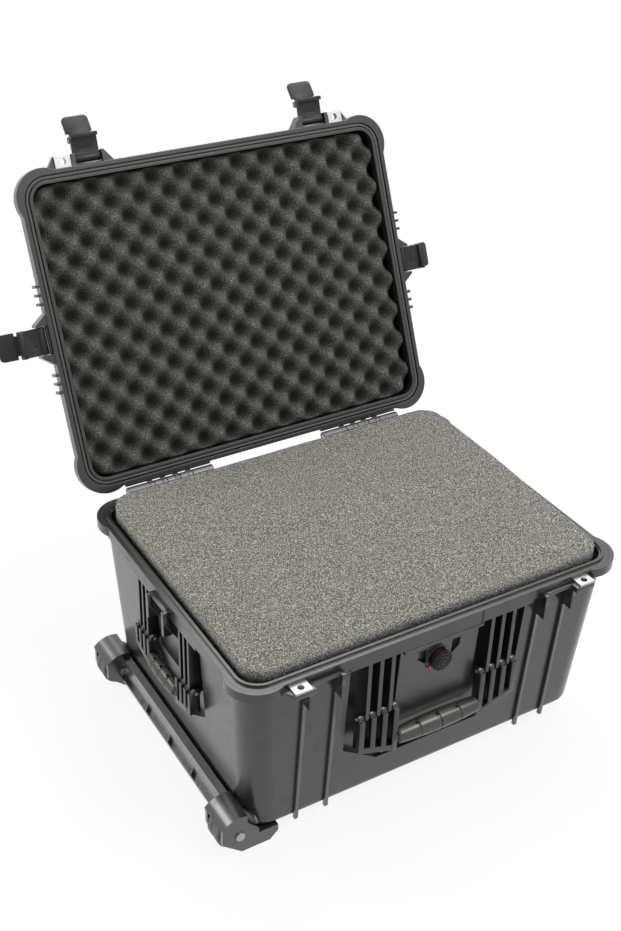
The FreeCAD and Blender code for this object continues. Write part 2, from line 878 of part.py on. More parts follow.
TRAY_SCREW_X = "-(tongue_end + tray_screw_inset)"
pilot_ends = ("floor_height - overlap", "floor_height + screw_bite + pin_clearance")
pilots = [
    rod("tray_pilot", "z", (TRAY_SCREW_X, place), "screw_radius + pin_clearance", pilot_ends)
    for place in tray_screw_places()
]
for along, across in saddle_screw_places():
    pilots.append(rod("saddle_pilot", "z", (along, across), "screw_radius + pin_clearance", pilot_ends))
base_all = cut("base_all", fuse("base_body", additions), bores + pilots)

# The base moulding in simple lumps: tub, rim, handle pans, latch catches and corner bumpers
rim_zone = box(
    "rim_zone",
    (f"-{HALF_X} - overrun", f"{HALF_X} + overrun"),
    (f"-{HALF_Y} - overrun", f"{HALF_Y} + overrun"),
    (BAY_TOP, "rim_height + overrun"),
)
keep("base_rim", common("base_rim", base_all, rim_zone))
pan_zones = []
for side in SIDES:
    kind = bay_kind(side)
    half = f"({kind}_bay_half + bay_wall)"
    zone = on_side(side, f"pan_zone_{side}", [box(
        f"pan_box_{side}", (f"-{half}", half), ("-overrun", "bay_depth + bay_wall + overlap"),
        (f"{kind}_bay_bottom - bay_wall", BAY_TOP),
    )])
    pan_zones.append(zone)
    keep(f"handle_pan_{side}", common(f"handle_pan_{side}", base_all, zone))
keep("base_shell", cut("base_shell", base_all, [rim_zone] + pan_zones))
bumper_rooms = [solid_base, base_all]
for name, (side, place) in LATCHES.items():
    lump = latch_catch(name, side, place)
    rooms = [base_all]
    if side == "front":
        hand = 1 if name == "front_right" else -1
        shelf = padlock_shelf("base_shelf", hand, f"{BASE_PLATE_LOW} - shelf_height", BASE_PLATE_LOW)
        lump = fuse(f"catch_all_{name}", [lump, shelf])
        seat = (BASE_PLATE_LOW, "rim_height + overrun")
        rooms.append(on_side("front", "padlock_room", [
            padlock_bore("base_padlock_bore", hand, PADLOCK_ROOM),
            box("base_plate_seat", plate_span(hand), ("-overrun", "0"), seat),
        ]))
        bumper_rooms += [lump, rooms[-1]]
    keep(f"latch_catch_{name}", cut(f"latch_catch_{name}", lump, rooms))
corner_discs = bumpers("base_bumper", "rim_height - bumper_height", "rim_height")
keep("base_bumpers", group("base_bumpers", [
    cut(f"corner_{number}", disc, bumper_rooms) for number, disc in enumerate(corner_discs)
]))

# Padlock plates of the base
plates = group("base_padlock_plates", [
    padlock_plate("base_plate", hand, BASE_PLATE_LOW) for hand in (-1, 1)
])
keep("base_padlock_plates", plates).Placement = SIDES["front"]

# Hinge pins
keep("hinge_pins", group("hinge_pins", [
    hinge_bore("hinge_pin", start, "hinge_pin_radius") for start in hinge_groups()
]))


def handle(side):
    """Fold-down handle: four arms each end, slanted struts and the bar inside the grip."""
    kind = bay_kind(side)
    deep = ("arm_near", "arm_far")
    pivot = f"{kind}_pivot_height"
    low = f"{kind}_handle_foot"
    rise = f"{kind}_handle_rise"
    pieces = []
    for hand in (-1, 1):
        places = [
            f"{hand} * ({kind}_rib_first + ({number} - 0.5) * {kind}_rib_pitch)"
            for number in range(ARM_COUNT)
        ]
        for number, place in enumerate(places):
            wide = span(place, f"{kind}_arm_thickness")
            foot = f"{low} + {rise} * {number} / {ARM_COUNT - 1}"
            pieces.append(box(f"arm_{side}", wide, deep, (foot, pivot)))
            line = ("pivot_depth", pivot)
            pieces.append(rod(f"arm_end_{side}", "x", line, "handle_knuckle", wide))
        inner = f"{places[0]} - {hand} * {kind}_arm_thickness / 2"
        outer = f"{places[-1]} + {hand} * {kind}_arm_thickness / 2"
        raised = f"{low} + {rise}"
        points = [
            (inner, low),
            (outer, raised),
            (outer, f"{raised} + strut_height"),
            (inner, f"{low} + strut_height"),
        ]
        pieces.append(prism(f"strut_{side}", "XZ", points, deep))
    pieces.append(grip_bar(f"bar_{side}", kind))
    bore = rod(
        f"arm_bore_{side}", "x", ("pivot_depth", pivot), "handle_pin_radius + pin_clearance",
        (f"-{kind}_bay_half", f"{kind}_bay_half"),
    )
    return cut(f"handle_{side}", fuse(f"handle_body_{side}", pieces), [bore])


def grip_bar(name, kind):
    """Bar between the inner arms that the grip is moulded on."""
    half = f"({kind}_rib_first - {kind}_rib_pitch / 2)"
    tall = span(f"{kind}_grip_height", "bar_thickness")
    return box(name, (f"-{half}", half), span("0", "bar_thickness"), tall)


def grip(side):
    """Soft grip round the handle's bar."""
    kind = bay_kind(side)
    half = f"({kind}_rib_first - {kind}_rib_pitch / 2 - {kind}_arm_thickness / 2 - grip_end_gap)"
    near, far = span("0", "grip_thickness")
    low, high = span(f"{kind}_grip_height", "grip_thickness")
    points = [(near, low), (far, low), (far, high), (near, high)]
    sleeve = prism(f"sleeve_{side}", "YZ", points, (f"-{half}", half), "grip_round")
    return cut(f"grip_{side}", sleeve, [grip_bar(f"grip_core_{side}", kind)])


def handle_pins(side):
    """Two pivot pins of a handle."""
    kind = bay_kind(side)
    near = f"({kind}_rib_first - {kind}_rib_pitch / 2 - {kind}_arm_thickness / 2 - pin_overhang)"
    far = f"({kind}_rib_first + 2.5 * {kind}_rib_pitch + {kind}_arm_thickness / 2 + pin_overhang)"
    line = ("pivot_depth", f"{kind}_pivot_height")
    pins = [
        rod(f"pin_a_{side}", "x", line, "handle_pin_radius", (f"-{far}", f"-{near}")),
        rod(f"pin_b_{side}", "x", line, "handle_pin_radius", (near, far)),
    ]
    return group(f"pins_{side}", pins)


for side in SIDES:
    for label, item in (
        (f"handle_{side}", handle(side)),
        (f"handle_grip_{side}", grip(side)),
        (f"handle_pins_{side}", handle_pins(side)),
    ):
        keep(label, item).Placement = SIDES[side]

# Pressure valve, from the cap outside to the nut inside; lengths run inward from the cap's crown
SEAL_AT = "(valve_boss_depth - valve_seal_length)"
FLANGE_AT = f"({SEAL_AT} - valve_flange_length)"
CAP_AT = f"({FLANGE_AT} - valve_cap_length)"
STEP_AT = f"({CAP_AT} - valve_step_length)"
CROWN_AT = f"({STEP_AT} - valve_crown_length)"
NUT_AT = "(valve_boss_depth + valve_boss_length)"
SHANK_END = f"({NUT_AT} + valve_nut_length + overlap)"


def valve_disc(name, radius, low, high):
    """Round part of the valve on its axis."""
    return rod(name, "y", ("0", VALVE_HEIGHT), radius, (low, high))


valve_cap = fuse("valve_cap", [
    valve_disc("cap_rim", "valve_cap_radius", CAP_AT, FLANGE_AT),
    valve_disc("cap_step", "valve_step_radius", STEP_AT, CAP_AT),
    valve_disc("cap_crown", "valve_crown_radius", CROWN_AT, STEP_AT),
])
valve_body = cut(
    "valve_body",
    fuse("valve_plug", [
        valve_disc("plug_flange", "valve_flange_radius", FLANGE_AT, SEAL_AT),
        valve_disc("plug_shank", "valve_shank_radius", SEAL_AT, SHANK_END),
    ]),
    [valve_disc("plug_bore", "valve_bore_radius", SEAL_AT, f"{SHANK_END} + overrun")],
)
valve_seal = cut(
    "valve_seal",
    valve_disc("seal_disc", "valve_seal_radius", SEAL_AT, "valve_boss_depth"),
    [valve_disc("seal_bore", "valve_shank_radius + pin_clearance", "-overrun", "overrun")],
)
hexagon = doc.addObject("Part::Prism", "nut_hexagon")
hexagon.Polygon = 6
hexagon.Placement = Placement(Vector(), TURNS["y"])
bind(hexagon, "Circumradius", "valve_nut_radius")
bind(hexagon, "Height", "valve_nut_length")
bind(hexagon, "Placement.Base.y", NUT_AT)
bind(hexagon, "Placement.Base.z", VALVE_HEIGHT)
valve_nut = cut(
    "valve_nut",
    hexagon,
    [valve_disc("nut_bore", "valve_shank_radius + pin_clearance", "0", f"{SHANK_END} + overrun")],
)
valve_membrane = group("valve_membrane", [valve_disc(
    "membrane_disc", "valve_bore_radius - pin_clearance", f"{SHANK_END} - valve_membrane_length", SHANK_END,
)])
for label, item in (
    ("valve_cap", valve_cap),
    ("valve_body", valve_body),
    ("valve_seal", valve_seal),
    ("valve_nut", valve_nut),
    ("valve_membrane", valve_membrane),
):
    keep(label, item).Placement = SIDES["front"]

# Lid shell, drawn closed and then swung open about the hinge
LID_TOP = "(rim_height + lid_height)"
LID_WALL_HEIGHT = "lid_height - flange_height"
lid_flange = tapered_block(
    "lid_flange", HALF_X, HALF_Y, LID_BASE, "flange_height - parting_gap", "0", "rim_corner",
)
lid_tub = tapered_block(
    "lid_tub", f"{HALF_X} - flange_overhang", f"{HALF_Y} - flange_overhang", "rim_height + flange_height",
    LID_WALL_HEIGHT, "lid_lean", "tub_corner", "lid_edge_round",
)
panel_half_x = f"{HALF_X} - lid_panel_inset"
panel_half_y = f"{HALF_Y} - lid_panel_inset"
lid_panel = tapered_block(
    "lid_panel", panel_half_x, panel_half_y, f"{LID_TOP} - overlap", "lid_panel_height + overlap", "0",
    "lid_panel_corner",
)


def lid_lug(name, side, place, hand):
    """Triangular lug that holds one end of a latch pin."""
    near = f"({place}) + {hand} * latch_bay_half"
    tip = f"{near} + {hand} * lug_tip"
    root = f"{tip} + {hand} * lug_flare"
    points = [(near, "overlap"), (near, "-lug_reach"), (tip, "-lug_reach"), (root, "0"), (root, "overlap")]
    lug = prism(name, "XY", points, ("rim_height + lug_low_rise", "rim_height + lug_high_rise"))
    lug.Placement = SIDES[side]
    return lug


lid_parts = [lid_flange, lid_tub, lid_panel] + bumpers("lid_bumper", LID_BASE, "rim_height + bumper_height")
for name, (side, place) in LATCHES.items():
    for hand in (-1, 1):
        lid_parts.append(lid_lug(f"lug_{name}", side, place, hand))
for hand in (-1, 1):
    low = f"{LID_PLATE_LOW} + plate_thickness"
    lid_parts.append(padlock_shelf("lid_shelf", hand, low, f"{low} + shelf_height"))
for side in ("left", "right"):
    ribs = [
        box(f"lid_rib_{side}", span(place, "lid_rib_thickness"), ("-lid_rib_reach", "overlap"),
            (LID_BASE, "rim_height + flange_height"))
        for place in rib_places(side)
    ]
    lid_parts.append(on_side(side, f"lid_ribs_{side}", ribs))
for start in hinge_groups():
    lid_parts += lid_knuckles(start)

lid_mouth = tapered_block(
    "lid_mouth", f"{HALF_X} - lid_rim_width", f"{HALF_Y} - lid_rim_width", "rim_height",
    "flange_height + overlap", "0", "rim_corner - lid_rim_width",
)
lid_core = tapered_block(
    "lid_core", f"{HALF_X} - ({CORE_INSET})", f"{HALF_Y} - ({CORE_INSET})", "rim_height + flange_height",
    "lid_height - flange_height - lid_top_thickness",
    "lid_rim_width - flange_overhang - wall_thickness", "core_corner",
    "core_edge_round",
)
groove = ring("groove", "groove_inset", "groove_width", "rim_height", f"{LID_BASE} + groove_depth")
lid_cuts = [lid_mouth, lid_core, groove]
for start in hinge_groups():
    lid_cuts.append(hinge_bore("lid_hinge_bore", start, "hinge_pin_radius + pin_clearance"))
for name, (side, place) in LATCHES.items():
    bore_reach = "latch_bay_half + lug_tip"
    line = rod(
        f"lug_bore_{name}", "x", ("-latch_pivot_reach", "rim_height + latch_pivot_rise"),
        "latch_pin_radius + pin_clearance", (f"({place}) - ({bore_reach})", f"({place}) + {bore_reach}"),
    )
    lid_cuts.append(on_side(side, f"lug_bores_{name}", [line]))
for hand in (-1, 1):
    seat = box(
        "lid_plate_seat", plate_span(hand), ("-overrun", "0"),
        ("rim_height - overrun", f"{LID_PLATE_LOW} + plate_thickness"),
    )
    room = padlock_bore("lid_padlock_bore", hand, PADLOCK_ROOM)
    lid_cuts.append(on_side("front", "lid_plate_cuts", [room, seat]))
lid_shell = keep("lid_shell", cut("lid_shell", fuse("lid_body", lid_parts), lid_cuts))
lid_shell.Placement = LID_OPEN

plates = group("lid_padlock_plates", [padlock_plate("lid_plate", hand, LID_PLATE_LOW) for hand in (-1, 1)])
keep("lid_padlock_plates", plates).Placement = LID_OPEN.multiply(SIDES["front"])

gasket = keep("lid_gasket", ring(
    "lid_gasket", "groove_inset + gasket_gap", "groove_width - 2 * gasket_gap",
    f"{LID_BASE} + groove_depth - gasket_height", f"{LID_BASE} + groove_depth",
))
gasket.Placement = LID_OPEN

LEVER_LINE = ("-lever_pivot_reach", "-lever_pivot_drop")


def latch_frame(name):
    """Latch frame in the closed pose: knuckle, plate, hook and two ears for the lever's pin."""
    full = ("-latch_half_width", "latch_half_width")
    neck = "(lever_neck_half + lever_side_gap)"
    pivot = ("-latch_pivot_reach", "latch_pivot_rise")
    plate_back = "-frame_reach + frame_thickness"
    hook_top = "-(ledge_drop + hook_gap)"
    hook_low = f"{hook_top} - hook_thickness"
    pieces = [
        rod(f"{name}_knuckle", "x", pivot, "latch_knuckle", full),
        box(f"{name}_plate", full, ("-frame_reach", plate_back), (hook_low, "latch_pivot_rise")),
        box(f"{name}_hook", full, ("-frame_reach", "-hook_tip_reach"), (hook_low, hook_top)),
    ]
    ear_tall = span("-lever_pivot_drop", "2 * lever_knuckle")
    for wide in (("-latch_half_width", f"-{neck}"), (neck, "latch_half_width")):
        pieces.append(rod(f"{name}_ear", "x", LEVER_LINE, "lever_knuckle", wide))
        pieces.append(box(f"{name}_ear_root", wide, ("-lever_pivot_reach", plate_back), ear_tall))
    slot_half = "frame_slot_half"
    slot_tall = span("(latch_pivot_rise - lever_pivot_drop) / 2", "frame_slot_height")
    tools = [
        rod(f"{name}_pin_bore", "x", pivot, "latch_pin_radius + pin_clearance", full),
        rod(f"{name}_lever_bore", "x", LEVER_LINE, "lever_pin_radius + pin_clearance", full),
        box(f"{name}_slot", (f"-{slot_half}", slot_half), ("-overrun", "overrun"), slot_tall),
    ]
    return cut(f"{name}_frame", fuse(f"{name}_frame_body", pieces), tools)


def latch_lever(name):
    """Latch lever in the closed pose: knuckle and neck between the ears, then a wide flared tip."""
    neck = ("-lever_neck_half", "lever_neck_half")
    pivot = LEVER_LINE
    face = "-(lever_pivot_reach + lever_knuckle)"
    back = f"{face} + lever_thickness"
    bend = "-lever_bend_drop"
    shoulder = "-(lever_bend_drop - lever_thickness / 2)"
    tip = "-lever_tip_drop"
    pieces = [
        rod(f"{name}_lever_knuckle", "x", pivot, "lever_knuckle", neck),
        box(f"{name}_neck", neck, (face, back), (bend, "-lever_pivot_drop")),
    ]
    points = [
        (face, shoulder),
        (f"{face} - lever_flare", tip),
        (f"{back} - lever_flare", tip),
        (back, bend),
        (back, shoulder),
    ]
    wing = prism(f"{name}_wing", "YZ", points, ("-latch_half_width", "latch_half_width"))
    tip_edges = round_edges(wing, wing.Tip, "lever_tip_round", tip_corner)
    wing.Tip = tip_edges
    pieces.append(wing)
    bore = rod(f"{name}_neck_bore", "x", pivot, "lever_pin_radius + pin_clearance", neck)
    return cut(f"{name}_lever", fuse(f"{name}_lever_body", pieces), [bore])


def tip_corner(edge):
    """Short edges at the lever's tip that run through its thickness."""
    low = value("-lever_tip_drop") + value("overlap")
    across = all(vertex.Z < low for vertex in edge.Vertexes)
    return across and abs(edge.tangentAt(edge.FirstParameter).y) > math.cos(math.pi / 8)


PIVOT = Vector(0, -value("latch_pivot_reach"), value("latch_pivot_rise"))
LEVER_PIVOT = Vector(0, -value("lever_pivot_reach"), -value("lever_pivot_drop"))
FRAME_OPEN = turn_about(Vector(1, 0, 0), PIVOT, -value("latch_open_angle"))
LEVER_OPEN = turn_about(Vector(1, 0, 0), LEVER_PIVOT, -value("lever_rest_angle"))

latch_pins = []
for name, (side, place) in LATCHES.items():
    at_wall = Placement(Vector(value(place), 0, value("rim_height")), Rotation())
    on_lid = LID_OPEN.multiply(SIDES[side]).multiply(at_wall)
    swung = on_lid.multiply(FRAME_OPEN)
    raised = swung.multiply(LEVER_OPEN)
    keep(f"latch_frame_{name}", latch_frame(f"frame_{name}")).Placement = swung
    keep(f"latch_lever_{name}", latch_lever(f"lever_{name}")).Placement = raised
    reach = "(latch_bay_half + lug_tip - overlap)"
    pin = rod(
        f"pivot_rod_{name}", "x", ("-latch_pivot_reach", "latch_pivot_rise"), "latch_pin_radius",
        (f"-{reach}", reach),
    )
    latch_pins.append(group(f"latch_pin_{name}", [pin]))
    latch_pins[-1].Placement = on_lid
    pin = rod(
        f"lever_rod_{name}", "x", LEVER_LINE, "lever_pin_radius",
        ("-latch_half_width", "latch_half_width"),
    )
    keep(f"lever_pin_{name}", group(f"lever_pin_{name}", [pin])).Placement = swung
keep("latch_pins", group("latch_pins", latch_pins))

# Foam: four layers in the base, notched round the handle bays, and a dimpled pad in the lid


def core_inset(height):
    """Inset of the cavity's wall from the rim at a height."""
    return f"{CORE_INSET} + (rim_height - ({height})) * {LEAN_SHARE}"


FLOOR = "(floor_height + floor_thickness)"
PAD_TOP = f"({FLOOR} + foam_pad_thickness)"
UPPER_LOW = "(rim_height - foam_upper_depth)"
MIDDLE = f"(({PAD_TOP} + {UPPER_LOW}) / 2)"
FOAM_TOP = "(rim_height + foam_stand)"
LAYERS = (
    ("base_foam_pad", FLOOR, PAD_TOP, None),
    ("base_foam_lower", PAD_TOP, MIDDLE, None),
    ("base_foam_middle", MIDDLE, UPPER_LOW, None),
    ("base_foam_upper", UPPER_LOW, FOAM_TOP, "foam_round"),
)


def foam_notch(side):
    """Room for a handle bay at the side of the foam."""
    kind = bay_kind(side)
    half = f"({kind}_bay_half + bay_wall + foam_gap)"
    notch = box(
        f"notch_{side}", (f"-{half}", half), ("-overrun", "bay_depth + bay_wall + foam_gap"),
        (f"{kind}_bay_bottom - bay_wall - foam_gap", f"{BAY_TOP} + bay_wall + foam_gap"),
    )
    return on_side(side, f"notch_on_{side}", [notch])


for label, low, high, rounding in LAYERS:
    inset = f"({core_inset(low)} + foam_gap)"
    lift = "pin_clearance" if label == "base_foam_pad" else "0"
    edge = "core_edge_round" if label == "base_foam_pad" else "0"
    block = tapered_block(
        f"{label}_block", f"{HALF_X} - {inset} - {edge}", f"{HALF_Y} - {inset} - {edge}", f"{low} + {lift}",
        f"{high} - {low} - {lift}", "0", "foam_corner", rounding,
    )
    notches = [foam_notch(side) for side in SIDES] + well_blocks("well_notch", "bay_wall + foam_gap")
    keep(label, cut(label, block, notches))

lid_foam_low = "(rim_height + lid_foam_recess)"
lid_foam_high = f"({LID_TOP} - lid_top_thickness)"
LID_FOAM_INSET = "(lid_rim_width + foam_gap)"
foam_slab = tapered_block(
    "lid_foam_slab", f"{HALF_X} - {LID_FOAM_INSET}", f"{HALF_Y} - {LID_FOAM_INSET}", lid_foam_low,
    f"{lid_foam_high} - {lid_foam_low}", "0", "foam_corner", "core_edge_round",
)
doc.recompute()


def dimpled(slab):
    """Slab with staggered round dimples in its underside, as in convoluted foam."""
    pitch_x = value("dimple_pitch_x")
    pitch_y = value("dimple_pitch_y")
    mouth = value("dimple_radius")
    depth = value("dimple_depth")
    ball = (mouth ** 2 + depth ** 2) / (2 * depth)
    half_x = value(f"{HALF_X} - {LID_FOAM_INSET}")
    half_y = value(f"{HALF_Y} - {LID_FOAM_INSET}")
    low = value(lid_foam_low)
    balls = []
    rows = int(half_y / (pitch_y / 2))
    columns = int(half_x / (pitch_x / 2))
    for row in range(-rows, rows + 1):
        for column in range(-columns, columns + 1):
            place = Vector(column * pitch_x / 2, row * pitch_y / 2, low - ball + depth)
            inside = abs(place.x) + mouth < half_x and abs(place.y) + mouth < half_y
            if (row + column) % 2 == 0 and inside:
                balls.append(Part.makeSphere(ball, place))
    return slab.Shape.cut(Part.makeCompound(balls))


lid_foam = keep("lid_foam", doc.addObject("Part::Feature", "lid_foam"))
lid_foam.Shape = dimpled(foam_slab)
lid_foam.Placement = LID_OPEN

# Wheels, axles and the bracket along the lower left edge
WHEEL_X = "-wheel_place_x"
HOUSINGS = {"front": -1, "rear": 1}
CHEEK_RIGHT = f"-({HALF_X} - ({wall_depth('rail_top')}) + bracket_clear)"


def housing_spans(hand):
    """Outer and inner cheek of a wheel housing along Y."""
    middle = f"{hand} * wheel_place_y"
    offset = "(housing_width - cheek_thickness) / 2"
    return [span(f"{middle} + {sign} * {offset}", "cheek_thickness") for sign in (-1, 1)]


def outer_cheek(hand):
    """Cheek of a wheel housing on the outside of the case, along Y."""
    return housing_spans(hand)[(hand + 1) // 2]


bracket_parts = []
bracket_bores = []
for word, hand in HOUSINGS.items():
    middle = f"{hand} * wheel_place_y"
    whole = span(middle, "housing_width")
    for wide in housing_spans(hand):
        disc = rod(f"cheek_disc_{word}", "y", (WHEEL_X, "wheel_height"), "cover_radius", wide)
        above = ("wheel_height", "wheel_height + cover_radius")
        crown = box(f"cheek_crown_{word}", ("-cheek_left", CHEEK_RIGHT), wide, above)
        bracket_parts.append(common(f"cheek_top_{word}", disc, crown))
        points = [
            ("-cheek_left", "wheel_height + overlap"),
            ("-cheek_left", "cheek_cut_height"),
            ("-cheek_left + cheek_cut", "0"),
            (CHEEK_RIGHT, "0"),
            (CHEEK_RIGHT, "wheel_height + overlap"),
        ]
        bracket_parts.append(prism(f"cheek_{word}", "XZ", points, wide))
        points = [
            (f"{CHEEK_RIGHT} - overlap", "0"),
            ("-tongue_end - tongue_cut", "0"),
            ("-tongue_end", "tongue_cut"),
            ("-tongue_end", "floor_height"),
            (f"{CHEEK_RIGHT} - overlap", "floor_height"),
        ]
        bracket_parts.append(prism(f"tongue_{word}", "XZ", points, wide))
    points = [
        (f"{CHEEK_RIGHT} - overlap", "floor_height - overlap"),
        ("-gusset_end", "floor_height - overlap"),
        ("-gusset_end", "gusset_low"),
        (f"{CHEEK_RIGHT} - overlap", "gusset_high"),
    ]
    bracket_parts.append(prism(f"gusset_{word}", "XZ", points, outer_cheek(hand)))
    shell = cut(
        f"cover_ring_{word}",
        rod(f"cover_outer_{word}", "y", (WHEEL_X, "wheel_height"), "cover_radius", whole),
        [rod(
            f"cover_inner_{word}", "y", (WHEEL_X, "wheel_height"), "cover_radius - cover_thickness", whole,
        )],
    )
    crown = box(
        f"cover_zone_{word}", ("-wheel_place_x - cover_radius", CHEEK_RIGHT), whole,
        ("cover_low", "wheel_height + cover_radius"),
    )
    bracket_parts.append(common(f"cover_{word}", shell, crown))
    bracket_bores.append(rod(
        f"axle_bore_{word}", "y", (WHEEL_X, "wheel_height"), "axle_radius + pin_clearance",
        span(middle, "housing_width + overlap"),
    ))
    inner = f"{hand} * (wheel_place_y - housing_width / 2 - axle_head_length / 2)"
    bracket_bores.append(rod(
        f"axle_head_room_{word}", "y", (WHEEL_X, "wheel_height"), "axle_head_radius + overlap",
        span(inner, "axle_head_length + overlap"),
    ))
long_run = ("-(wheel_place_y + housing_width / 2)", "wheel_place_y + housing_width / 2")
between = ("-(wheel_place_y - housing_width / 2 + overlap)", "wheel_place_y - housing_width / 2 + overlap")
TRAY_LOW = "floor_height - tray_thickness"
under = (TRAY_LOW, "floor_height")
bracket_parts.append(box(
    "rail_web", ("-rail_place", "-rail_place + rail_web"), between, (TRAY_LOW, "rail_top"),
))
bracket_parts.append(box(
    "rail_top", ("-rail_place", CHEEK_RIGHT), between, ("rail_top - rail_web", "rail_top"),
))
bracket_parts.append(box(
    "rail_lip", ("-rail_place - rail_lip", "-rail_place + rail_web"), between, under,
))
TRAY_LEFT = "-(wheel_place_x - wheel_radius - well_gap)"
bracket_parts.append(box("tray", (TRAY_LEFT, "-tongue_end"), long_run, (TRAY_LOW, "floor_height")))
bracket_parts.append(box("rail_base", ("-rail_place", f"{TRAY_LEFT} + overlap"), between, under))
for number in (-1, 0, 1):
    points = [
        ("-rail_place + overlap", "floor_height - overlap"),
        ("-rail_place - rail_lip", "floor_height - overlap"),
        ("-rail_place - rail_lip", "floor_height + overlap"),
        ("-rail_place", "floor_height + rail_rib_height"),
        ("-rail_place + overlap", "floor_height + rail_rib_height"),
    ]
    bracket_parts.append(prism("rail_rib", "XZ", points, span(f"{number} * rail_rib_pitch", "rail_web")))
for place in tray_screw_places():
    bracket_bores.append(rod(
        "tray_hole", "z", (TRAY_SCREW_X, place), "screw_radius + pin_clearance",
        (f"{TRAY_LOW} - overlap", "floor_height + overlap"),
    ))
keep("wheel_bracket", cut("wheel_bracket", fuse("bracket_body", bracket_parts), bracket_bores))


def screw(name, place, seat):
    """Screw driven up into the floor from a seat below it."""
    shank = rod(f"{name}_shank", "z", place, "screw_radius", (seat, "floor_height + screw_bite"))
    head = rod(f"{name}_head", "z", place, "screw_head_radius", (f"{seat} - screw_head_length", seat))
    return fuse(name, [shank, head])


floor_screws = [screw("tray_screw", (TRAY_SCREW_X, place), TRAY_LOW) for place in tray_screw_places()]

axles = []
for word, hand in HOUSINGS.items():
    middle = f"{hand} * wheel_place_y"
    whole = span(middle, "wheel_width")
    line = (WHEEL_X, "wheel_height")
    tyre_body = doc.addObject("PartDesign::Body", f"wheel_body_{word}")
    tyre_sketch = sketch_on(tyre_body, f"wheel_section_{word}", "YZ_Plane")
    bind(tyre_sketch, "AttachmentOffset.Base.z", WHEEL_X)
    outline(tyre_sketch, [
        (whole[0], "wheel_height + wheel_bore"),
        (whole[1], "wheel_height + wheel_bore"),
        (whole[1], "wheel_height + wheel_radius - wheel_round"),
        (f"{whole[1]} - wheel_round", "wheel_height + wheel_radius"),
        (f"{whole[0]} + wheel_round", "wheel_height + wheel_radius"),
        (whole[0], "wheel_height + wheel_radius - wheel_round"),
    ])
    axis_line = tyre_sketch.addGeometry(
        Part.LineSegment(
            Vector(value(whole[0]), value("wheel_height"), 0),
            Vector(value(whole[1]), value("wheel_height"), 0),
        ),
        True,
    )
    for end, across in ((1, whole[0]), (2, whole[1])):
        for kind, place in (("DistanceX", across), ("DistanceY", "wheel_height")):
            distance = Sketcher.Constraint(kind, -1, 1, axis_line, end, value(place))
            number = tyre_sketch.addConstraint(distance)
            bind(tyre_sketch, f"Constraints[{number}]", place)
    tyre = tyre_body.newObject("PartDesign::Revolution", f"wheel_turn_{word}")
    tyre.Profile = tyre_sketch
    tyre.ReferenceAxis = (tyre_sketch, ["Axis0"])
    tyre.Angle = 360
    keep(f"wheel_{word}", tyre_body)
    bearings = []
    for sign in (-1, 1):
        at = f"{middle} + {sign} * (wheel_width - bearing_width) / 2"
        outer = rod(f"bearing_{word}", "y", line, "wheel_bore", span(at, "bearing_width"))
        through = span(at, "bearing_width + overlap")
        inner = rod(f"bearing_bore_{word}", "y", line, "axle_radius + pin_clearance", through)
        bearings.append(cut(f"bearing_ring_{word}", outer, [inner]))
    keep(f"wheel_bearings_{word}", group(f"wheel_bearings_{word}", bearings))
    ends = span(middle, "housing_width")
    heads = [
        rod(f"axle_{word}", "y", line, "axle_radius", ends),
        rod(f"axle_head_a_{word}", "y", line, "axle_head_radius", (f"{ends[0]} - axle_head_length", ends[0])),
        rod(f"axle_head_b_{word}", "y", line, "axle_head_radius", (ends[1], f"{ends[1]} + axle_head_length")),
    ]
    axles.append(fuse(f"wheel_axle_{word}", heads))
keep("wheel_axles", group("wheel_axles", axles))

# Feet under the right end and the middle of the floor
feet = []
for along, across in (
    ("foot_place_x", "-foot_place_y"),
    ("foot_place_x", "foot_place_y"),
    ("0", "0"),
):
    wide = span(along, "foot_length")
    deep = span(across, "foot_width")
    points = [(wide[0], deep[0]), (wide[1], deep[0]), (wide[1], deep[1]), (wide[0], deep[1])]
    feet.append(prism("foot", "XY", points, ("0", "floor_height"), "foot_round"))
keep("rest_feet", group("rest_feet", feet))

# Tow handle: two rods in guide tubes under the floor, joined by a grip at the right end
saddles = []
for along in ("-saddle_left", "saddle_right"):
    for hand in (-1, 1):
        middle = f"{hand} * tow_place"
        block = box(
            "saddle", span(along, "saddle_length"), span(middle, "2 * saddle_half"),
            ("saddle_lift", "floor_height"),
        )
        holes = [rod("saddle_bore", "x", (middle, "tow_height"), "tow_tube_radius + pin_clearance",
                     span(along, "saddle_length + overlap"))]
        for edge in (-1, 1):
            place = (along, f"{middle} + {edge} * saddle_screw")
            tall = ("0", "floor_height + overlap")
            holes.append(rod("saddle_hole", "z", place, "screw_radius + pin_clearance", tall))
            holes.append(rod("saddle_sink", "z", place, "screw_head_radius + pin_clearance",
                             ("0", "saddle_lift + screw_head_length")))
        saddles.append(cut("saddle_block", block, holes))
keep("tow_saddles", group("tow_saddles", saddles))
floor_screws += [
    screw("saddle_screw", place, "saddle_lift + screw_head_length") for place in saddle_screw_places()
]
keep("floor_screws", group("floor_screws", floor_screws))
tow_bar_low = "tow_height - tow_grip_height / 2"
tow_bar_high = "tow_height + tow_grip_height / 2"
tow_bar = prism(
    "tow_bar", "XZ",
    [
        ("tow_grip_start", tow_bar_low),
        ("tow_grip_start + tow_grip_depth", tow_bar_low),
        ("tow_grip_start + tow_grip_depth", tow_bar_high),
        ("tow_grip_start", tow_bar_high),
    ],
    ("-tow_grip_half", "tow_grip_half"), "tow_grip_round",
)
sockets = []
tubes = []
rods = []
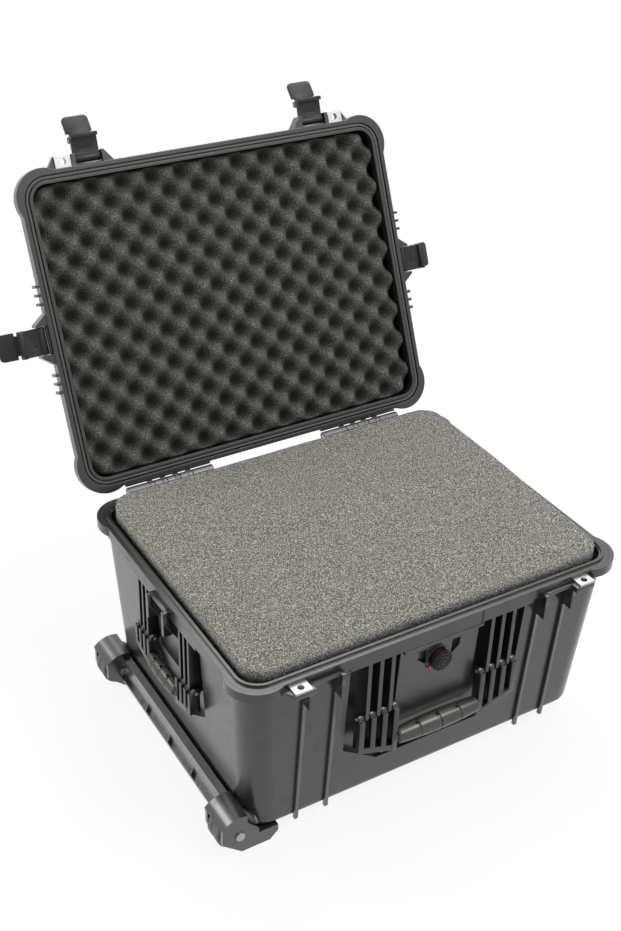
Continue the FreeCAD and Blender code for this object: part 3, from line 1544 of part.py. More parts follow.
for word, hand in (("front", -1), ("rear", 1)):
    line = (f"{hand} * tow_place", "tow_height")
    tube_ends = ("-tow_tube_start", "tow_tube_end")
    tube = cut(
        f"tow_tube_{word}", rod(f"tube_{word}", "x", line, "tow_tube_radius", tube_ends),
        [rod(
            f"tube_bore_{word}", "x", line, "tow_rod_radius + tow_clearance",
            ("-tow_tube_start - overlap", "tow_tube_end + overlap"),
        )],
    )
    tubes.append(tube)
    socket_end = "tow_grip_start + tow_socket"
    rod_ends = ("-tow_rod_start", socket_end)
    rods.append(rod(f"tow_rod_{word}", "x", line, "tow_rod_radius", rod_ends))
    sockets.append(rod(
        f"tow_socket_{word}", "x", line, "tow_rod_radius + pin_clearance",
        ("tow_grip_start - overlap", socket_end),
    ))
keep("tow_tubes", group("tow_tubes", tubes))
keep("tow_rods", group("tow_rods", rods))
keep("tow_grip", cut("tow_grip", tow_bar, sockets))

doc.recompute()
failed = [item.Name for item in doc.Objects if "Invalid" in item.State or "Error" in item.State]
if failed:
    raise RuntimeError(f"features that did not build: {failed}")
for label, item in NODES.items():
    shape = item.Shape
    if shape.isNull() or not shape.isValid() or not shape.Solids:
        raise RuntimeError(f"{label} has no valid solid")
os.makedirs("parts", exist_ok=True)
for label, item in NODES.items():
    item.Shape.exportStep(os.path.join("parts", f"{label}.step"))
    print(f"{label}: {len(item.Shape.Solids)} solid(s), {item.Shape.Volume / 1000:.2f} cm3")
print(f"{len(NODES)} nodes")
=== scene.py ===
import json
import logging
import math
from dataclasses import dataclass
from enum import Enum
from typing import Callable, Sequence

import bmesh
import bpy
from mathutils import Matrix, Vector, noise


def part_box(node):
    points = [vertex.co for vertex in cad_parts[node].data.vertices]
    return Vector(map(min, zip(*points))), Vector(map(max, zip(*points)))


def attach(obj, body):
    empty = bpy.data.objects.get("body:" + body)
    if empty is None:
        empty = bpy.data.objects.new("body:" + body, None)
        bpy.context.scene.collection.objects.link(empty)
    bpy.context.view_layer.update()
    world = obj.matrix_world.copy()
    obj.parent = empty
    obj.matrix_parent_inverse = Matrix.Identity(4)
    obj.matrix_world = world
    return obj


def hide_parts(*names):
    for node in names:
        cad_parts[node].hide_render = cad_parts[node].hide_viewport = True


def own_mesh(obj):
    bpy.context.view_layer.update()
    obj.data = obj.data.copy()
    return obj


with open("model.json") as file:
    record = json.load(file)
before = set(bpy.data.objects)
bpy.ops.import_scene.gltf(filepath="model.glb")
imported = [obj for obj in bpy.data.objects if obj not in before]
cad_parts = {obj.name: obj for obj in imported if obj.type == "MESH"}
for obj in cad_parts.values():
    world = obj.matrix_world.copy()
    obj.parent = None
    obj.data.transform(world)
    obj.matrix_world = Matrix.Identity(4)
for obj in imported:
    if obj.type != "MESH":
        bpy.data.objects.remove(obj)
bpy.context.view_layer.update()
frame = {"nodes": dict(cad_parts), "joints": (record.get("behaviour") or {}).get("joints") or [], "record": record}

MM = 0.001
WELD = 0.001 * MM
LATCH_PLACE = 181.5 * MM
LOG = logging.getLogger("case")

Pair = tuple[float, float]
Triple = tuple[float, float, float]
Colour = Triple
Profile = Sequence[Pair]
Spread = Callable[[float, float, float], float]
Mesh = bmesh.types.BMesh
Piece = bpy.types.Object


# Shader graphs


class Wire:
    """A shader socket that takes part in Python arithmetic."""

    def __init__(self, tree: "Tree", socket: bpy.types.NodeSocket) -> None:
        """Hold one output socket of a tree.

        Args:
            tree: Tree that owns the socket.
            socket: Output socket to wrap.
        """
        self.tree = tree
        self.socket = socket

    def _math(self, operation: str, first: object, second: object) -> "Wire":
        """Add a Math node on two values.

        Args:
            operation: Name of the Math operation.
            first: First value or wire.
            second: Second value or wire.

        Returns:
            The node's result.
        """
        return self.tree.node("ShaderNodeMath", {"operation": operation}, {0: first, 1: second})

    def __add__(self, other: object) -> "Wire":
        """Sum with a value or wire."""
        return self._math("ADD", self, other)

    def __radd__(self, other: object) -> "Wire":
        """Sum with a value on the left."""
        return self._math("ADD", other, self)

    def __sub__(self, other: object) -> "Wire":
        """Difference from a value or wire."""
        return self._math("SUBTRACT", self, other)

    def __rsub__(self, other: object) -> "Wire":
        """Difference with a value on the left."""
        return self._math("SUBTRACT", other, self)

    def __mul__(self, other: object) -> "Wire":
        """Product with a value or wire."""
        return self._math("MULTIPLY", self, other)

    def __rmul__(self, other: object) -> "Wire":
        """Product with a value on the left."""
        return self._math("MULTIPLY", other, self)

    def ramp(self, low: float, high: float) -> "Wire":
        """Smooth step from 0 at low to 1 at high.

        Args:
            low: Value that gives 0.
            high: Value that gives 1.

        Returns:
            The stepped value.
        """
        settings = {"interpolation_type": "SMOOTHSTEP"}
        inputs = {"Value": self, "From Min": low, "From Max": high}
        return self.tree.node("ShaderNodeMapRange", settings, inputs)


class Tree:
    """Node tree of a material or a world."""

    def __init__(self, tree: bpy.types.NodeTree) -> None:
        """Take over a node tree and empty it.

        Args:
            tree: Blender's tree.
        """
        self.tree = tree
        tree.nodes.clear()

    def node(
        self, kind: str, settings: dict | None = None, inputs: dict | None = None, out: int | str = 0,
    ) -> Wire:
        """Add a node.

        Args:
            kind: Blender's node type.
            settings: Properties that are set first.
            inputs: Socket names or numbers, with values or wires.
            out: Number or name of the output to return.

        Returns:
            The chosen output.
        """
        node = self.tree.nodes.new(kind)
        for key, setting in (settings or {}).items():
            setattr(node, key, setting)
        for key, given in (inputs or {}).items():
            if isinstance(given, Wire):
                self.tree.links.new(given.socket, node.inputs[key])
            else:
                node.inputs[key].default_value = given
        return Wire(self, node.outputs[out])

    def end(self, kind: str, shader: Wire) -> None:
        """Add an output node.

        Args:
            kind: Blender's node type.
            shader: Shader that it puts out.
        """
        self.tree.links.new(shader.socket, self.tree.nodes.new(kind).inputs[0])


class Graph(Tree):
    """Node tree of one material."""

    def __init__(self, name: str) -> None:
        """Start a material.

        Args:
            name: Name of the material.
        """
        self.material = bpy.data.materials.new(name)
        self.material.use_nodes = True
        super().__init__(self.material.node_tree)

    def mix(self, factor: object, first: object, second: object) -> Wire:
        """Blend two colours.

        Args:
            factor: Share of the second colour.
            first: First colour or wire.
            second: Second colour or wire.

        Returns:
            The blended colour.
        """
        return self.node("ShaderNodeMix", {"data_type": "RGBA"}, {0: factor, 6: first, 7: second}, 2)

    def place(self) -> Wire:
        """Object coordinates, which are the row frame in metres."""
        return self.node("ShaderNodeTexCoord", out=3)

    def noise(self, scale: float, detail: float = 2.0, rough: float = 0.5) -> Wire:
        """Noise value over the object.

        Args:
            scale: Cells per metre.
            detail: Octaves.
            rough: Weight of the finer octaves.

        Returns:
            The noise value.
        """
        inputs = {"Vector": self.place(), "Scale": scale, "Detail": detail, "Roughness": rough}
        return self.node("ShaderNodeTexNoise", {}, inputs)

    def bump(
        self, height: Wire, distance: float, strength: float, normal: Wire | None = None,
    ) -> Wire:
        """Bumped normal.

        Args:
            height: Height from 0 to 1.
            distance: Depth in metres at height 1.
            strength: Share of the bump.
            normal: Normal to start from.

        Returns:
            The new normal.
        """
        inputs = {"Height": height, "Distance": distance, "Strength": strength}
        if normal is not None:
            inputs["Normal"] = normal
        return self.node("ShaderNodeBump", {}, inputs)

    def round_edges(self, radius: float) -> tuple[Wire, Wire]:
        """Softened normal near edges, and how near an edge is.

        Args:
            radius: Reach of the softening in metres.

        Returns:
            The softened normal and a value from 0 to 1 at an edge.
        """
        soft = self.node("ShaderNodeBevel", {"samples": 4}, {"Radius": radius})
        flat = self.node("ShaderNodeNewGeometry", out=1)
        same = self.node("ShaderNodeVectorMath", {"operation": "DOT_PRODUCT"}, {0: soft, 1: flat}, 1)
        return soft, (1.0 - same).ramp(0.0, 0.25)

    def finish(self, inputs: dict) -> bpy.types.Material:
        """Add the shader and give the material.

        Args:
            inputs: Inputs of the Principled shader.

        Returns:
            The finished material.
        """
        self.end("ShaderNodeOutputMaterial", self.node("ShaderNodeBsdfPrincipled", {}, inputs))
        return self.material


def rgba(colour: Colour, gain: float = 1.0) -> tuple[float, float, float, float]:
    """Colour with its alpha, brightened or darkened.

    Args:
        colour: Linear colour.
        gain: Factor on the colour.

    Returns:
        Four numbers for a colour socket.
    """
    return colour[0] * gain, colour[1] * gain, colour[2] * gain, 1.0


# Finishes


@dataclass(frozen=True)
class MouldedPlastic:
    """Injection-moulded plastic with a fine grain, faint scuffs, and edges painted paler: a painted highlight
    along rounded edges, with a little wear.
    """

    name: str
    colour: Colour
    roughness: float = 0.32
    grain: float = 1500.0
    grain_depth: float = 0.00005
    edge: float = 0.0016
    edge_wear_and_highlight: float = 0.5
    specular: float = 0.5
    coat: float = 0.8
    coat_roughness: float = 0.24
    cloud: float = 7.0
    scuff: float = 60.0
    edge_highlight_gain: float = 5.0

    def material(self) -> bpy.types.Material:
        """Material of the finish."""
        graph = Graph(self.name)
        soft, edge = graph.round_edges(self.edge)
        cloud = graph.noise(self.cloud, 3.0)
        scuff = graph.noise(self.scuff, 4.0, 0.65).ramp(0.52, 0.74)
        pale = graph.mix(cloud, rgba(self.colour, 0.85), rgba(self.colour, 1.2))
        # Painted highlight: near a rounded edge the colour is lifted towards edge_highlight_gain times itself.
        # This stands in for light caught on the edge, with a little wear.
        colour = graph.mix(edge * self.edge_wear_and_highlight, pale, rgba(self.colour, self.edge_highlight_gain))
        grain = graph.noise(self.grain, 2.0)
        rough = self.roughness + 0.1 * (cloud - 0.5) + 0.1 * scuff + 0.06 * (grain - 0.5)
        return graph.finish({
            "Base Color": colour,
            "Roughness": rough,
            "Normal": graph.bump(grain, self.grain_depth, 0.5, soft),
            "Specular IOR Level": self.specular,
            "Coat Weight": self.coat * (1.0 - 0.4 * scuff),
            "Coat Roughness": self.coat_roughness,
        })


@dataclass(frozen=True)
class OpenCellFoam:
    """Open-cell foam: fine pits, pale and dark specks, a soft mottle, painted light that makes the sides paler,
    and painted shade in the valleys of a dimpled face.
    """

    name: str
    colour: Colour
    dark: float = 0.3
    pale: float = 1.5
    cell: float = 520.0
    depth: float = 0.0008
    painted_valley_shade: float = 0.0
    painted_side_light: float = 0.0
    crumb: float = 420.0
    mottle: float = 26.0
    roughness: float = 0.95
    specular: float = 0.15

    def material(self) -> bpy.types.Material:
        """Material of the finish."""
        graph = Graph(self.name)
        cells = {"Vector": graph.place(), "Scale": self.cell}
        pits = graph.node("ShaderNodeTexVoronoi", {}, cells)
        coarse = graph.noise(self.crumb, 3.0, 0.7)
        mottle = graph.noise(self.mottle, 3.0)
        tone = graph.mix(pits.ramp(0.15, 0.6), rgba(self.colour, self.pale), rgba(self.colour, self.dark))
        speck = graph.mix(coarse.ramp(0.56, 0.68), tone, rgba(self.colour, 2.1))
        hole = graph.mix(coarse.ramp(0.44, 0.32), speck, rgba(self.colour, 0.25))
        even = graph.mix(0.2 * mottle, hole, rgba(self.colour))
        # Painted light: faces that turn away from straight up are painted paler, up to 1 + painted_side_light
        # times, to lift the sides that the lamps leave dark. cut holds this side-lit colour.
        normal = graph.node("ShaderNodeTexCoord", out=1)
        upward = graph.node("ShaderNodeSeparateXYZ", {}, {0: normal}, 2)
        gain = 1.0 + self.painted_side_light * upward.ramp(0.8, 0.2)
        cut = graph.node("ShaderNodeVectorMath", {"operation": "SCALE"}, {0: even, "Scale": gain})
        # Painted shade: where the dimpled face is sunk, the colour is darkened towards a near-black of the foam.
        # This stands in for shade in the valleys.
        sunk = graph.node("ShaderNodeAttribute", {"attribute_name": "sunk"}, out=2)
        colour = graph.mix(self.painted_valley_shade * sunk, cut, rgba(self.colour, 0.08))
        height = 0.6 * (1.0 - pits) + 0.6 * coarse
        return graph.finish({
            "Base Color": colour,
            "Roughness": self.roughness,
            "Normal": graph.bump(height, self.depth, 0.7),
            "Specular IOR Level": self.specular,
        })


@dataclass(frozen=True)
class Rubber:
    """Matt elastomer with a soft mottle."""

    name: str
    colour: Colour
    roughness: float = 0.6
    edge: float = 0.0008
    mottle: float = 90.0
    grain: float = 2200.0
    grain_depth: float = 0.00005

    def material(self) -> bpy.types.Material:
        """Material of the finish."""
        graph = Graph(self.name)
        soft, edge = graph.round_edges(self.edge)
        mottle = graph.noise(self.mottle, 3.0)
        colour = graph.mix(mottle, rgba(self.colour, 0.8), rgba(self.colour, 1.25))
        # Near an edge the colour is painted paler, towards twice itself.
        pale_edged = graph.mix(edge * 0.3, colour, rgba(self.colour, 2.0))
        grain = graph.noise(self.grain, 2.0)
        return graph.finish({
            "Base Color": pale_edged,
            "Roughness": self.roughness + 0.15 * (mottle - 0.5),
            "Normal": graph.bump(grain, self.grain_depth, 0.5, soft),
        })


@dataclass(frozen=True)
class PlainMetal:
    """Plain metal with fine drawn lines and faint stains."""

    name: str
    colour: Colour
    roughness: float = 0.3
    lines: Triple = (40.0, 900.0, 900.0)
    line_depth: float = 0.00003
    edge: float = 0.0005
    stain: float = 120.0

    def material(self) -> bpy.types.Material:
        """Material of the finish."""
        graph = Graph(self.name)
        soft, edge = graph.round_edges(self.edge)
        along = graph.node("ShaderNodeMapping", {}, {"Vector": graph.place(), "Scale": self.lines})
        drawn = graph.node("ShaderNodeTexNoise", {}, {"Vector": along, "Scale": 1.0, "Detail": 3.0})
        stain = graph.noise(self.stain, 3.0)
        colour = graph.mix(stain, rgba(self.colour, 0.85), rgba(self.colour, 1.1))
        return graph.finish({
            "Base Color": graph.mix(edge * 0.3, colour, rgba(self.colour, 1.25)),
            "Roughness": self.roughness + 0.2 * (drawn - 0.5) + 0.15 * (stain - 0.5),
            "Metallic": 1.0,
            "Normal": graph.bump(drawn, self.line_depth, 0.4, soft),
        })


class Slot(Enum):
    """Material slots of the record, with their finishes."""

    SHELL = ("shell", MouldedPlastic("shell_plastic", (0.011, 0.0108, 0.0105), 0.3, coat=0.45))
    MOULDING = ("moulding", MouldedPlastic(
        "fitting_plastic", (0.009, 0.009, 0.0086), 0.5, 1900.0, specular=0.3, coat=0.1))
    GRIP = ("grip", Rubber("grip_rubber", (0.05, 0.047, 0.038), 0.3))
    STEEL = ("steel", PlainMetal("plate_steel", (0.42, 0.42, 0.41), 0.42))
    TUBE = ("tube", PlainMetal("drawn_tube", (0.5, 0.51, 0.53), 0.35, (900.0, 900.0, 20.0)))
    SEAL = ("seal", Rubber("gasket_rubber", (0.07, 0.069, 0.066), 0.6))
    SEAL_RED = ("seal_red", Rubber("red_rubber", (0.4, 0.012, 0.012), 0.4))
    MEMBRANE = ("membrane", Rubber("vent_membrane", (0.6, 0.6, 0.58), 0.8))
    FOAM_BASE = ("foam_base", OpenCellFoam("base_foam_cells", (0.236, 0.231, 0.208), painted_side_light=0.7))
    FOAM_LID = ("foam_lid", OpenCellFoam("lid_foam_cells", (0.128, 0.127, 0.113), 0.45, 1.35, painted_valley_shade=0.95))
    WHEEL = ("wheel", Rubber("wheel_rubber", (0.1, 0.1, 0.105), 0.5))
    FEET = ("feet", Rubber("foot_rubber", (0.02, 0.02, 0.02), 0.7))


BRACKET = MouldedPlastic("bracket_plastic", (0.016, 0.016, 0.0165), 0.3, edge_wear_and_highlight=0.15, coat=1.0)


class Wardrobe:
    """Finished materials by slot, and the dressing of pieces."""

    def __init__(self, record: dict) -> None:
        """Make the materials and read which node takes which slot.

        Args:
            record: Packed record of the part.
        """
        self.materials = {slot.value[0]: slot.value[1].material() for slot in Slot}
        self.bracket = BRACKET.material()
        self.slots = {row["node"]: row["material_slot"] for row in record["subparts"]}

    def dress_nodes(self, nodes: dict) -> None:
        """Give each CAD node its finish.

        Args:
            nodes: CAD node objects by name.
        """
        for name, item in nodes.items():
            glossy = name.startswith(("handle_", "tow_grip")) and self.slots[name] == "moulding"
            finish = self.materials["shell" if glossy else self.slots[name]]
            item.data.materials.clear()
            item.data.materials.append(self.bracket if name == "wheel_bracket" else finish)

    def fit(self, piece: Piece, slot: Slot, body: str, node: str | None = None) -> None:
        """Dress a new piece, set it on a body and hide the CAD node that it replaces, if any.

        Args:
            piece: Piece to fit.
            slot: Slot whose finish it takes.
            body: Body that it rides on.
            node: CAD node that it replaces, or none where it is fitted over the solid.
        """
        piece.data.materials.append(self.materials[slot.value[0]])
        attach(piece, body)
        if node is not None:
            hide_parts(node)
        LOG.info("%s set on %s", piece.name, body)


# Meshes

RIM = Vector((292.5 * MM, 226.0 * MM, 283.0 * MM))
FLAT_ANGLE = 0.5
SHARP_ANGLE = 38.0
CREASE_ANGLE = 32.0
NO_EDGES = 180.0


def wall_frame(side: str) -> Matrix:
    """Frame of a side wall: x along the wall as seen from outside, y inward from the rim's face, z up.

    Args:
        side: Name of the wall.

    Returns:
        Matrix from the wall's frame to the row frame.
    """
    quarter = math.pi / 2
    return {
        "front": Matrix.Translation((0, -RIM.y, 0)),
        "left": Matrix.Translation((-RIM.x, 0, 0)) @ Matrix.Rotation(-quarter, 4, "Z"),
        "right": Matrix.Translation((RIM.x, 0, 0)) @ Matrix.Rotation(quarter, 4, "Z"),
    }[side]


def new_piece(name: str, mesh: Mesh, limit: float | None = 35.0) -> Piece:
    """Turn a working mesh into an object of the scene.

    Args:
        name: Name of the piece.
        mesh: Working mesh, which is freed.
        limit: Turns in degrees above which smooth faces meet at an edge, or none for flat faces.

    Returns:
        The new object.
    """
    bmesh.ops.recalc_face_normals(mesh, faces=mesh.faces)
    data = bpy.data.meshes.new(name)
    mesh.to_mesh(data)
    mesh.free()
    if limit is not None:
        data.polygons.foreach_set("use_smooth", [True] * len(data.polygons))
        data.set_sharp_from_angle(angle=math.radians(limit))
    item = bpy.data.objects.new(name, data)
    bpy.context.scene.collection.objects.link(item)
    return item


def node_mesh(node: str) -> Mesh:
    """Working copy of a CAD node's mesh, with its points welded.

    Args:
        node: CAD node to copy.

    Returns:
        The working mesh.
    """
    mesh = bmesh.new()
    mesh.from_mesh(frame["nodes"][node].data)
    bmesh.ops.remove_doubles(mesh, verts=mesh.verts, dist=WELD)
    return mesh


def copy_node(node: str, name: str, ceiling: float | None = None) -> Piece:
    """Copy a CAD node's mesh into a new piece.

    Args:
        node: CAD node to copy.
        name: Name of the piece.
        ceiling: Height above which the copy is cut off and closed.

    Returns:
        The new object.
    """
    mesh = node_mesh(node)
    if ceiling is not None:
        everything = mesh.verts[:] + mesh.edges[:] + mesh.faces[:]
        split = bmesh.ops.bisect_plane(
            mesh, geom=everything, plane_co=(0, 0, ceiling), plane_no=(0, 0, 1), clear_outer=True)
        rim = [item for item in split["geom_cut"] if isinstance(item, bmesh.types.BMEdge)]
        bmesh.ops.holes_fill(mesh, edges=rim)
    return new_piece(name, mesh, limit=None)


def bridge(mesh: Mesh, rings: list, capped: bool = True) -> None:
    """Skin a row of rings.

    Args:
        mesh: Working mesh.
        rings: Rings of vertices, all with the same count.
        capped: Whether the first and the last ring are closed by a face.
    """
    count = len(rings[0])
    for first, second in zip(rings, rings[1:]):
        for number in range(count):
            after = (number + 1) % count
            mesh.faces.new((first[number], first[after], second[after], second[number]))
    if capped:
        mesh.faces.new(rings[0])
        mesh.faces.new(rings[-1][::-1])


def turned(
    name: str, centre: Vector, axis: Vector, profile: Profile, spread: Spread | None = None,
    count: int = 96, limit: float = 35.0,
) -> Piece:
    """Turn a closed or capped profile about an axis.

    Args:
        name: Name of the piece.
        centre: Point on the axis from which lengths count.
        axis: Direction of the axis.
        profile: Pairs of length along the axis and radius, from one end to the other.
        spread: Radius at an angle, given the angle, the profile's radius and the length.
        count: Steps round the axis.
        limit: Least angle of an edge in degrees.

    Returns:
        The new object.
    """
    up = Vector((0, 0, 1))
    side = axis.cross(up).normalized()
    mesh = bmesh.new()
    rings = []
    for along, radius in profile:
        ring = []
        for number in range(count):
            angle = 2 * math.pi * number / count
            reach = spread(angle, radius, along) if spread else radius
            ring.append(mesh.verts.new(
                centre + along * axis + reach * (math.cos(angle) * side + math.sin(angle) * up)))
        rings.append(ring)
    closed = profile[0] == profile[-1]
    bridge(mesh, rings, capped=not closed)
    if closed:
        bmesh.ops.remove_doubles(mesh, verts=mesh.verts, dist=WELD)
    return new_piece(name, mesh, limit)


def bevel(mesh: Mesh, edges: list, width: float) -> None:
    """Round edges of a working mesh.

    Args:
        mesh: Working mesh.
        edges: Edges to round.
        width: Width of the rounding.
    """
    bmesh.ops.bevel(
        mesh, geom=edges, offset=width, offset_type="OFFSET", segments=2, profile=0.5, affect="EDGES",
        clamp_overlap=True)


def rounded_copy(node: str, name: str, width: float, plugs: Sequence[Matrix] = ()) -> Piece:
    """Copy a CAD node and round its sharp edges.

    Args:
        node: CAD node to copy.
        name: Name of the piece.
        width: Width of the rounding.
        plugs: Places and sizes of blocks that close slots or fill out corners.

    Returns:
        The new object.
    """
    mesh = node_mesh(node)
    bmesh.ops.dissolve_limit(mesh, angle_limit=math.radians(FLAT_ANGLE), verts=mesh.verts, edges=mesh.edges)
    least = math.radians(SHARP_ANGLE)
    sharp = [edge for edge in mesh.edges if edge.is_manifold and edge.calc_face_angle(0.0) > least]
    bevel(mesh, sharp, width)
    for plug in plugs:
        bmesh.ops.create_cube(mesh, size=1.0, matrix=plug)
    return new_piece(name, mesh, CREASE_ANGLE)


@dataclass
class Slab:
    """Rounded block of foam on a fine grid, with a height rule for its show face."""

    half_x: float
    half_y: float
    corner: float
    low: float
    high: float
    step: float
    edge: float

    def lines(self, half: float) -> list[float]:
        """Grid lines from one side to the other, closer at the rims.

        Args:
            half: Half the width in metres.

        Returns:
            Places of the lines.
        """
        shares = (0.0, 0.08, 0.2, 0.4, 0.7)
        rim = [self.edge * share for share in shares]
        count = max(2, round(2 * (half - self.edge) / self.step))
        inner = [-half + self.edge + 2 * (half - self.edge) * number / count for number in range(count + 1)]
        return [-half + place for place in rim] + inner + [half - place for place in rim[::-1]]

    def rounded(self, x: float, y: float) -> Pair:
        """Pull a grid point inside the rounded corners.

        Args:
            x: Place along X.
            y: Place along Y.

        Returns:
            The new place.
        """
        over_x = abs(x) - (self.half_x - self.corner)
        over_y = abs(y) - (self.half_y - self.corner)
        if over_x <= 0 or over_y <= 0:
            return x, y
        u = over_x / self.corner
        v = over_y / self.corner
        new_x = self.half_x - self.corner + self.corner * u * math.sqrt(1 - v * v / 2)
        new_y = self.half_y - self.corner + self.corner * v * math.sqrt(1 - u * u / 2)
        return math.copysign(new_x, x), math.copysign(new_y, y)

    def inset(self, x: float, y: float) -> float:
        """Distance of a point from the block's outline.

        Args:
            x: Place along X.
            y: Place along Y.

        Returns:
            Distance in metres.
        """
        over_x = abs(x) - (self.half_x - self.corner)
        over_y = abs(y) - (self.half_y - self.corner)
        if over_x > 0 and over_y > 0:
            return self.corner - math.hypot(over_x, over_y)
        return min(self.half_x - abs(x), self.half_y - abs(y))

    def sink(self, x: float, y: float) -> float:
        """Drop of the rounded rim at a point.

        Args:
            x: Place along X.
            y: Place along Y.

        Returns:
            Drop in metres.
        """
        near = self.edge - max(0.0, min(self.edge, self.inset(x, y)))
        return self.edge - math.sqrt(max(0.0, self.edge ** 2 - near ** 2))

    def build(self, name: str, show: Callable[[float, float], float]) -> Piece:
        """Make the block.

        Args:
            name: Name of the piece.
            show: Height of the show face over its own plane, by place.

        Returns:
            The new object.
        """
        mesh = bmesh.new()
        lines_y = self.lines(self.half_y)
        grid = [[self.rounded(x, y) for y in lines_y] for x in self.lines(self.half_x)]
        tops = [[(x, y, self.high - self.sink(x, y) + show(x, y)) for x, y in row] for row in grid]
        floors = [[(x, y, self.low) for x, y in row] for row in grid]
        rims = []
        for face in (tops, floors):
            rows = [[mesh.verts.new(point) for point in row] for row in face]
            for first, second in zip(rows, rows[1:]):
                for corners in zip(first, second, second[1:], first[1:]):
                    mesh.faces.new(corners)
            rims.append(self.rim(rows))
        bridge(mesh, rims, capped=False)
        return new_piece(name, mesh, NO_EDGES)

    @staticmethod
    def rim(rows: list) -> list:
        """Vertices round the outside of a grid, in order.

        Args:
            rows: Grid of vertices.

        Returns:
            The outer loop.
        """
        right = [row[-1] for row in rows]
        left = [row[0] for row in rows]
        return rows[0][:-1] + right[:-1] + rows[-1][:0:-1] + left[:0:-1]


# Sub-assemblies


@dataclass
class Foam:
    """Foam of the base and the lid."""

    wardrobe: Wardrobe
    lid_open: Matrix
    corner: float = 30.0 * MM
    notch_top: float = 268.5 * MM
    grid: float = 4.0 * MM
    edge: float = 2.5 * MM
    swell: float = 9.0 * MM
    swell_reach: float = 1.2
    crumbs: tuple[Triple, ...] = ((0.4 * MM, 0.3, 60.0), (0.5 * MM, 0.7, 12.0))
    crumb_drop: float = 0.6 * MM
    lid_half: Pair = (274.0 * MM, 207.5 * MM)
    lid_grid: float = 3.2 * MM
    lid_edge: float = 3.0 * MM
    pitch_x: float = 46.0 * MM
    pitch_y: float = 48.6 * MM
    wave: float = 21.0 * MM
    wave_power: float = 1.3
    lid_back: float = 342.5 * MM
    lid_face: float = 288.0 * MM
    pressed_face: float = 298.0 * MM

    def build(self) -> None:
        """Build all the foam."""
        for name in ("base_foam_pad", "base_foam_lower", "base_foam_middle"):
            self.settle(copy_node(name, f"{name}_layer"), name)
        self.top_layer()
        self.lid_pad()

    def settle(self, piece: Piece, node: str) -> None:
        """Dress one piece of the base foam and set it in the base.

        Args:
            piece: New piece.
            node: CAD node that it replaces.
        """
        self.wardrobe.fit(piece, Slot.FOAM_BASE, "base", node)

    def top_layer(self) -> None:
        """Replace the top layer: a crumbly block that swells to the back, over the notched rest of it."""
        node = "base_foam_upper"
        _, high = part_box(node)
        slab = Slab(high.x, high.y, self.corner, self.notch_top, high.z, self.grid, self.edge)

        def crumb(x: float, y: float) -> float:
            rough = sum(
                tall * noise.noise(Vector((x, y, level)) * scale) for tall, level, scale in self.crumbs)
            back = min(1.0, max(0.0, (y + high.y) / (self.swell_reach * high.y)))
            return rough - self.crumb_drop + self.swell * back

        block = slab.build(f"{node}_block", crumb)
        self.settle(block, node)
        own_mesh(block)
        self.settle(copy_node(node, f"{node}_rest", self.notch_top), node)

    def lid_pad(self) -> None:
        """Replace the lid's dimpled pad by a full convoluted face."""
        slab = Slab(
            *self.lid_half, self.corner, -self.lid_back, -self.lid_face, self.lid_grid, self.lid_edge)

        def share(x: float, y: float) -> float:
            turn = math.cos(2 * math.pi * x / self.pitch_x) * math.cos(2 * math.pi * y / self.pitch_y)
            return (0.5 + 0.5 * turn) ** self.wave_power

        piece = slab.build("lid_foam_pad", lambda x, y: -self.wave * share(x, y))
        # The sunk share of each point drives the painted shade in the pad's valleys.
        sunk = piece.data.attributes.new("sunk", "FLOAT", "POINT")
        sunk.data.foreach_set("value", [share(point.co.x, point.co.y) for point in piece.data.vertices])
        flip = Matrix.Rotation(math.pi, 4, "Y")
        piece.data.transform(self.lid_open @ flip)
        self.wardrobe.fit(piece, Slot.FOAM_LID, "lid", "lid_foam")
        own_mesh(piece)


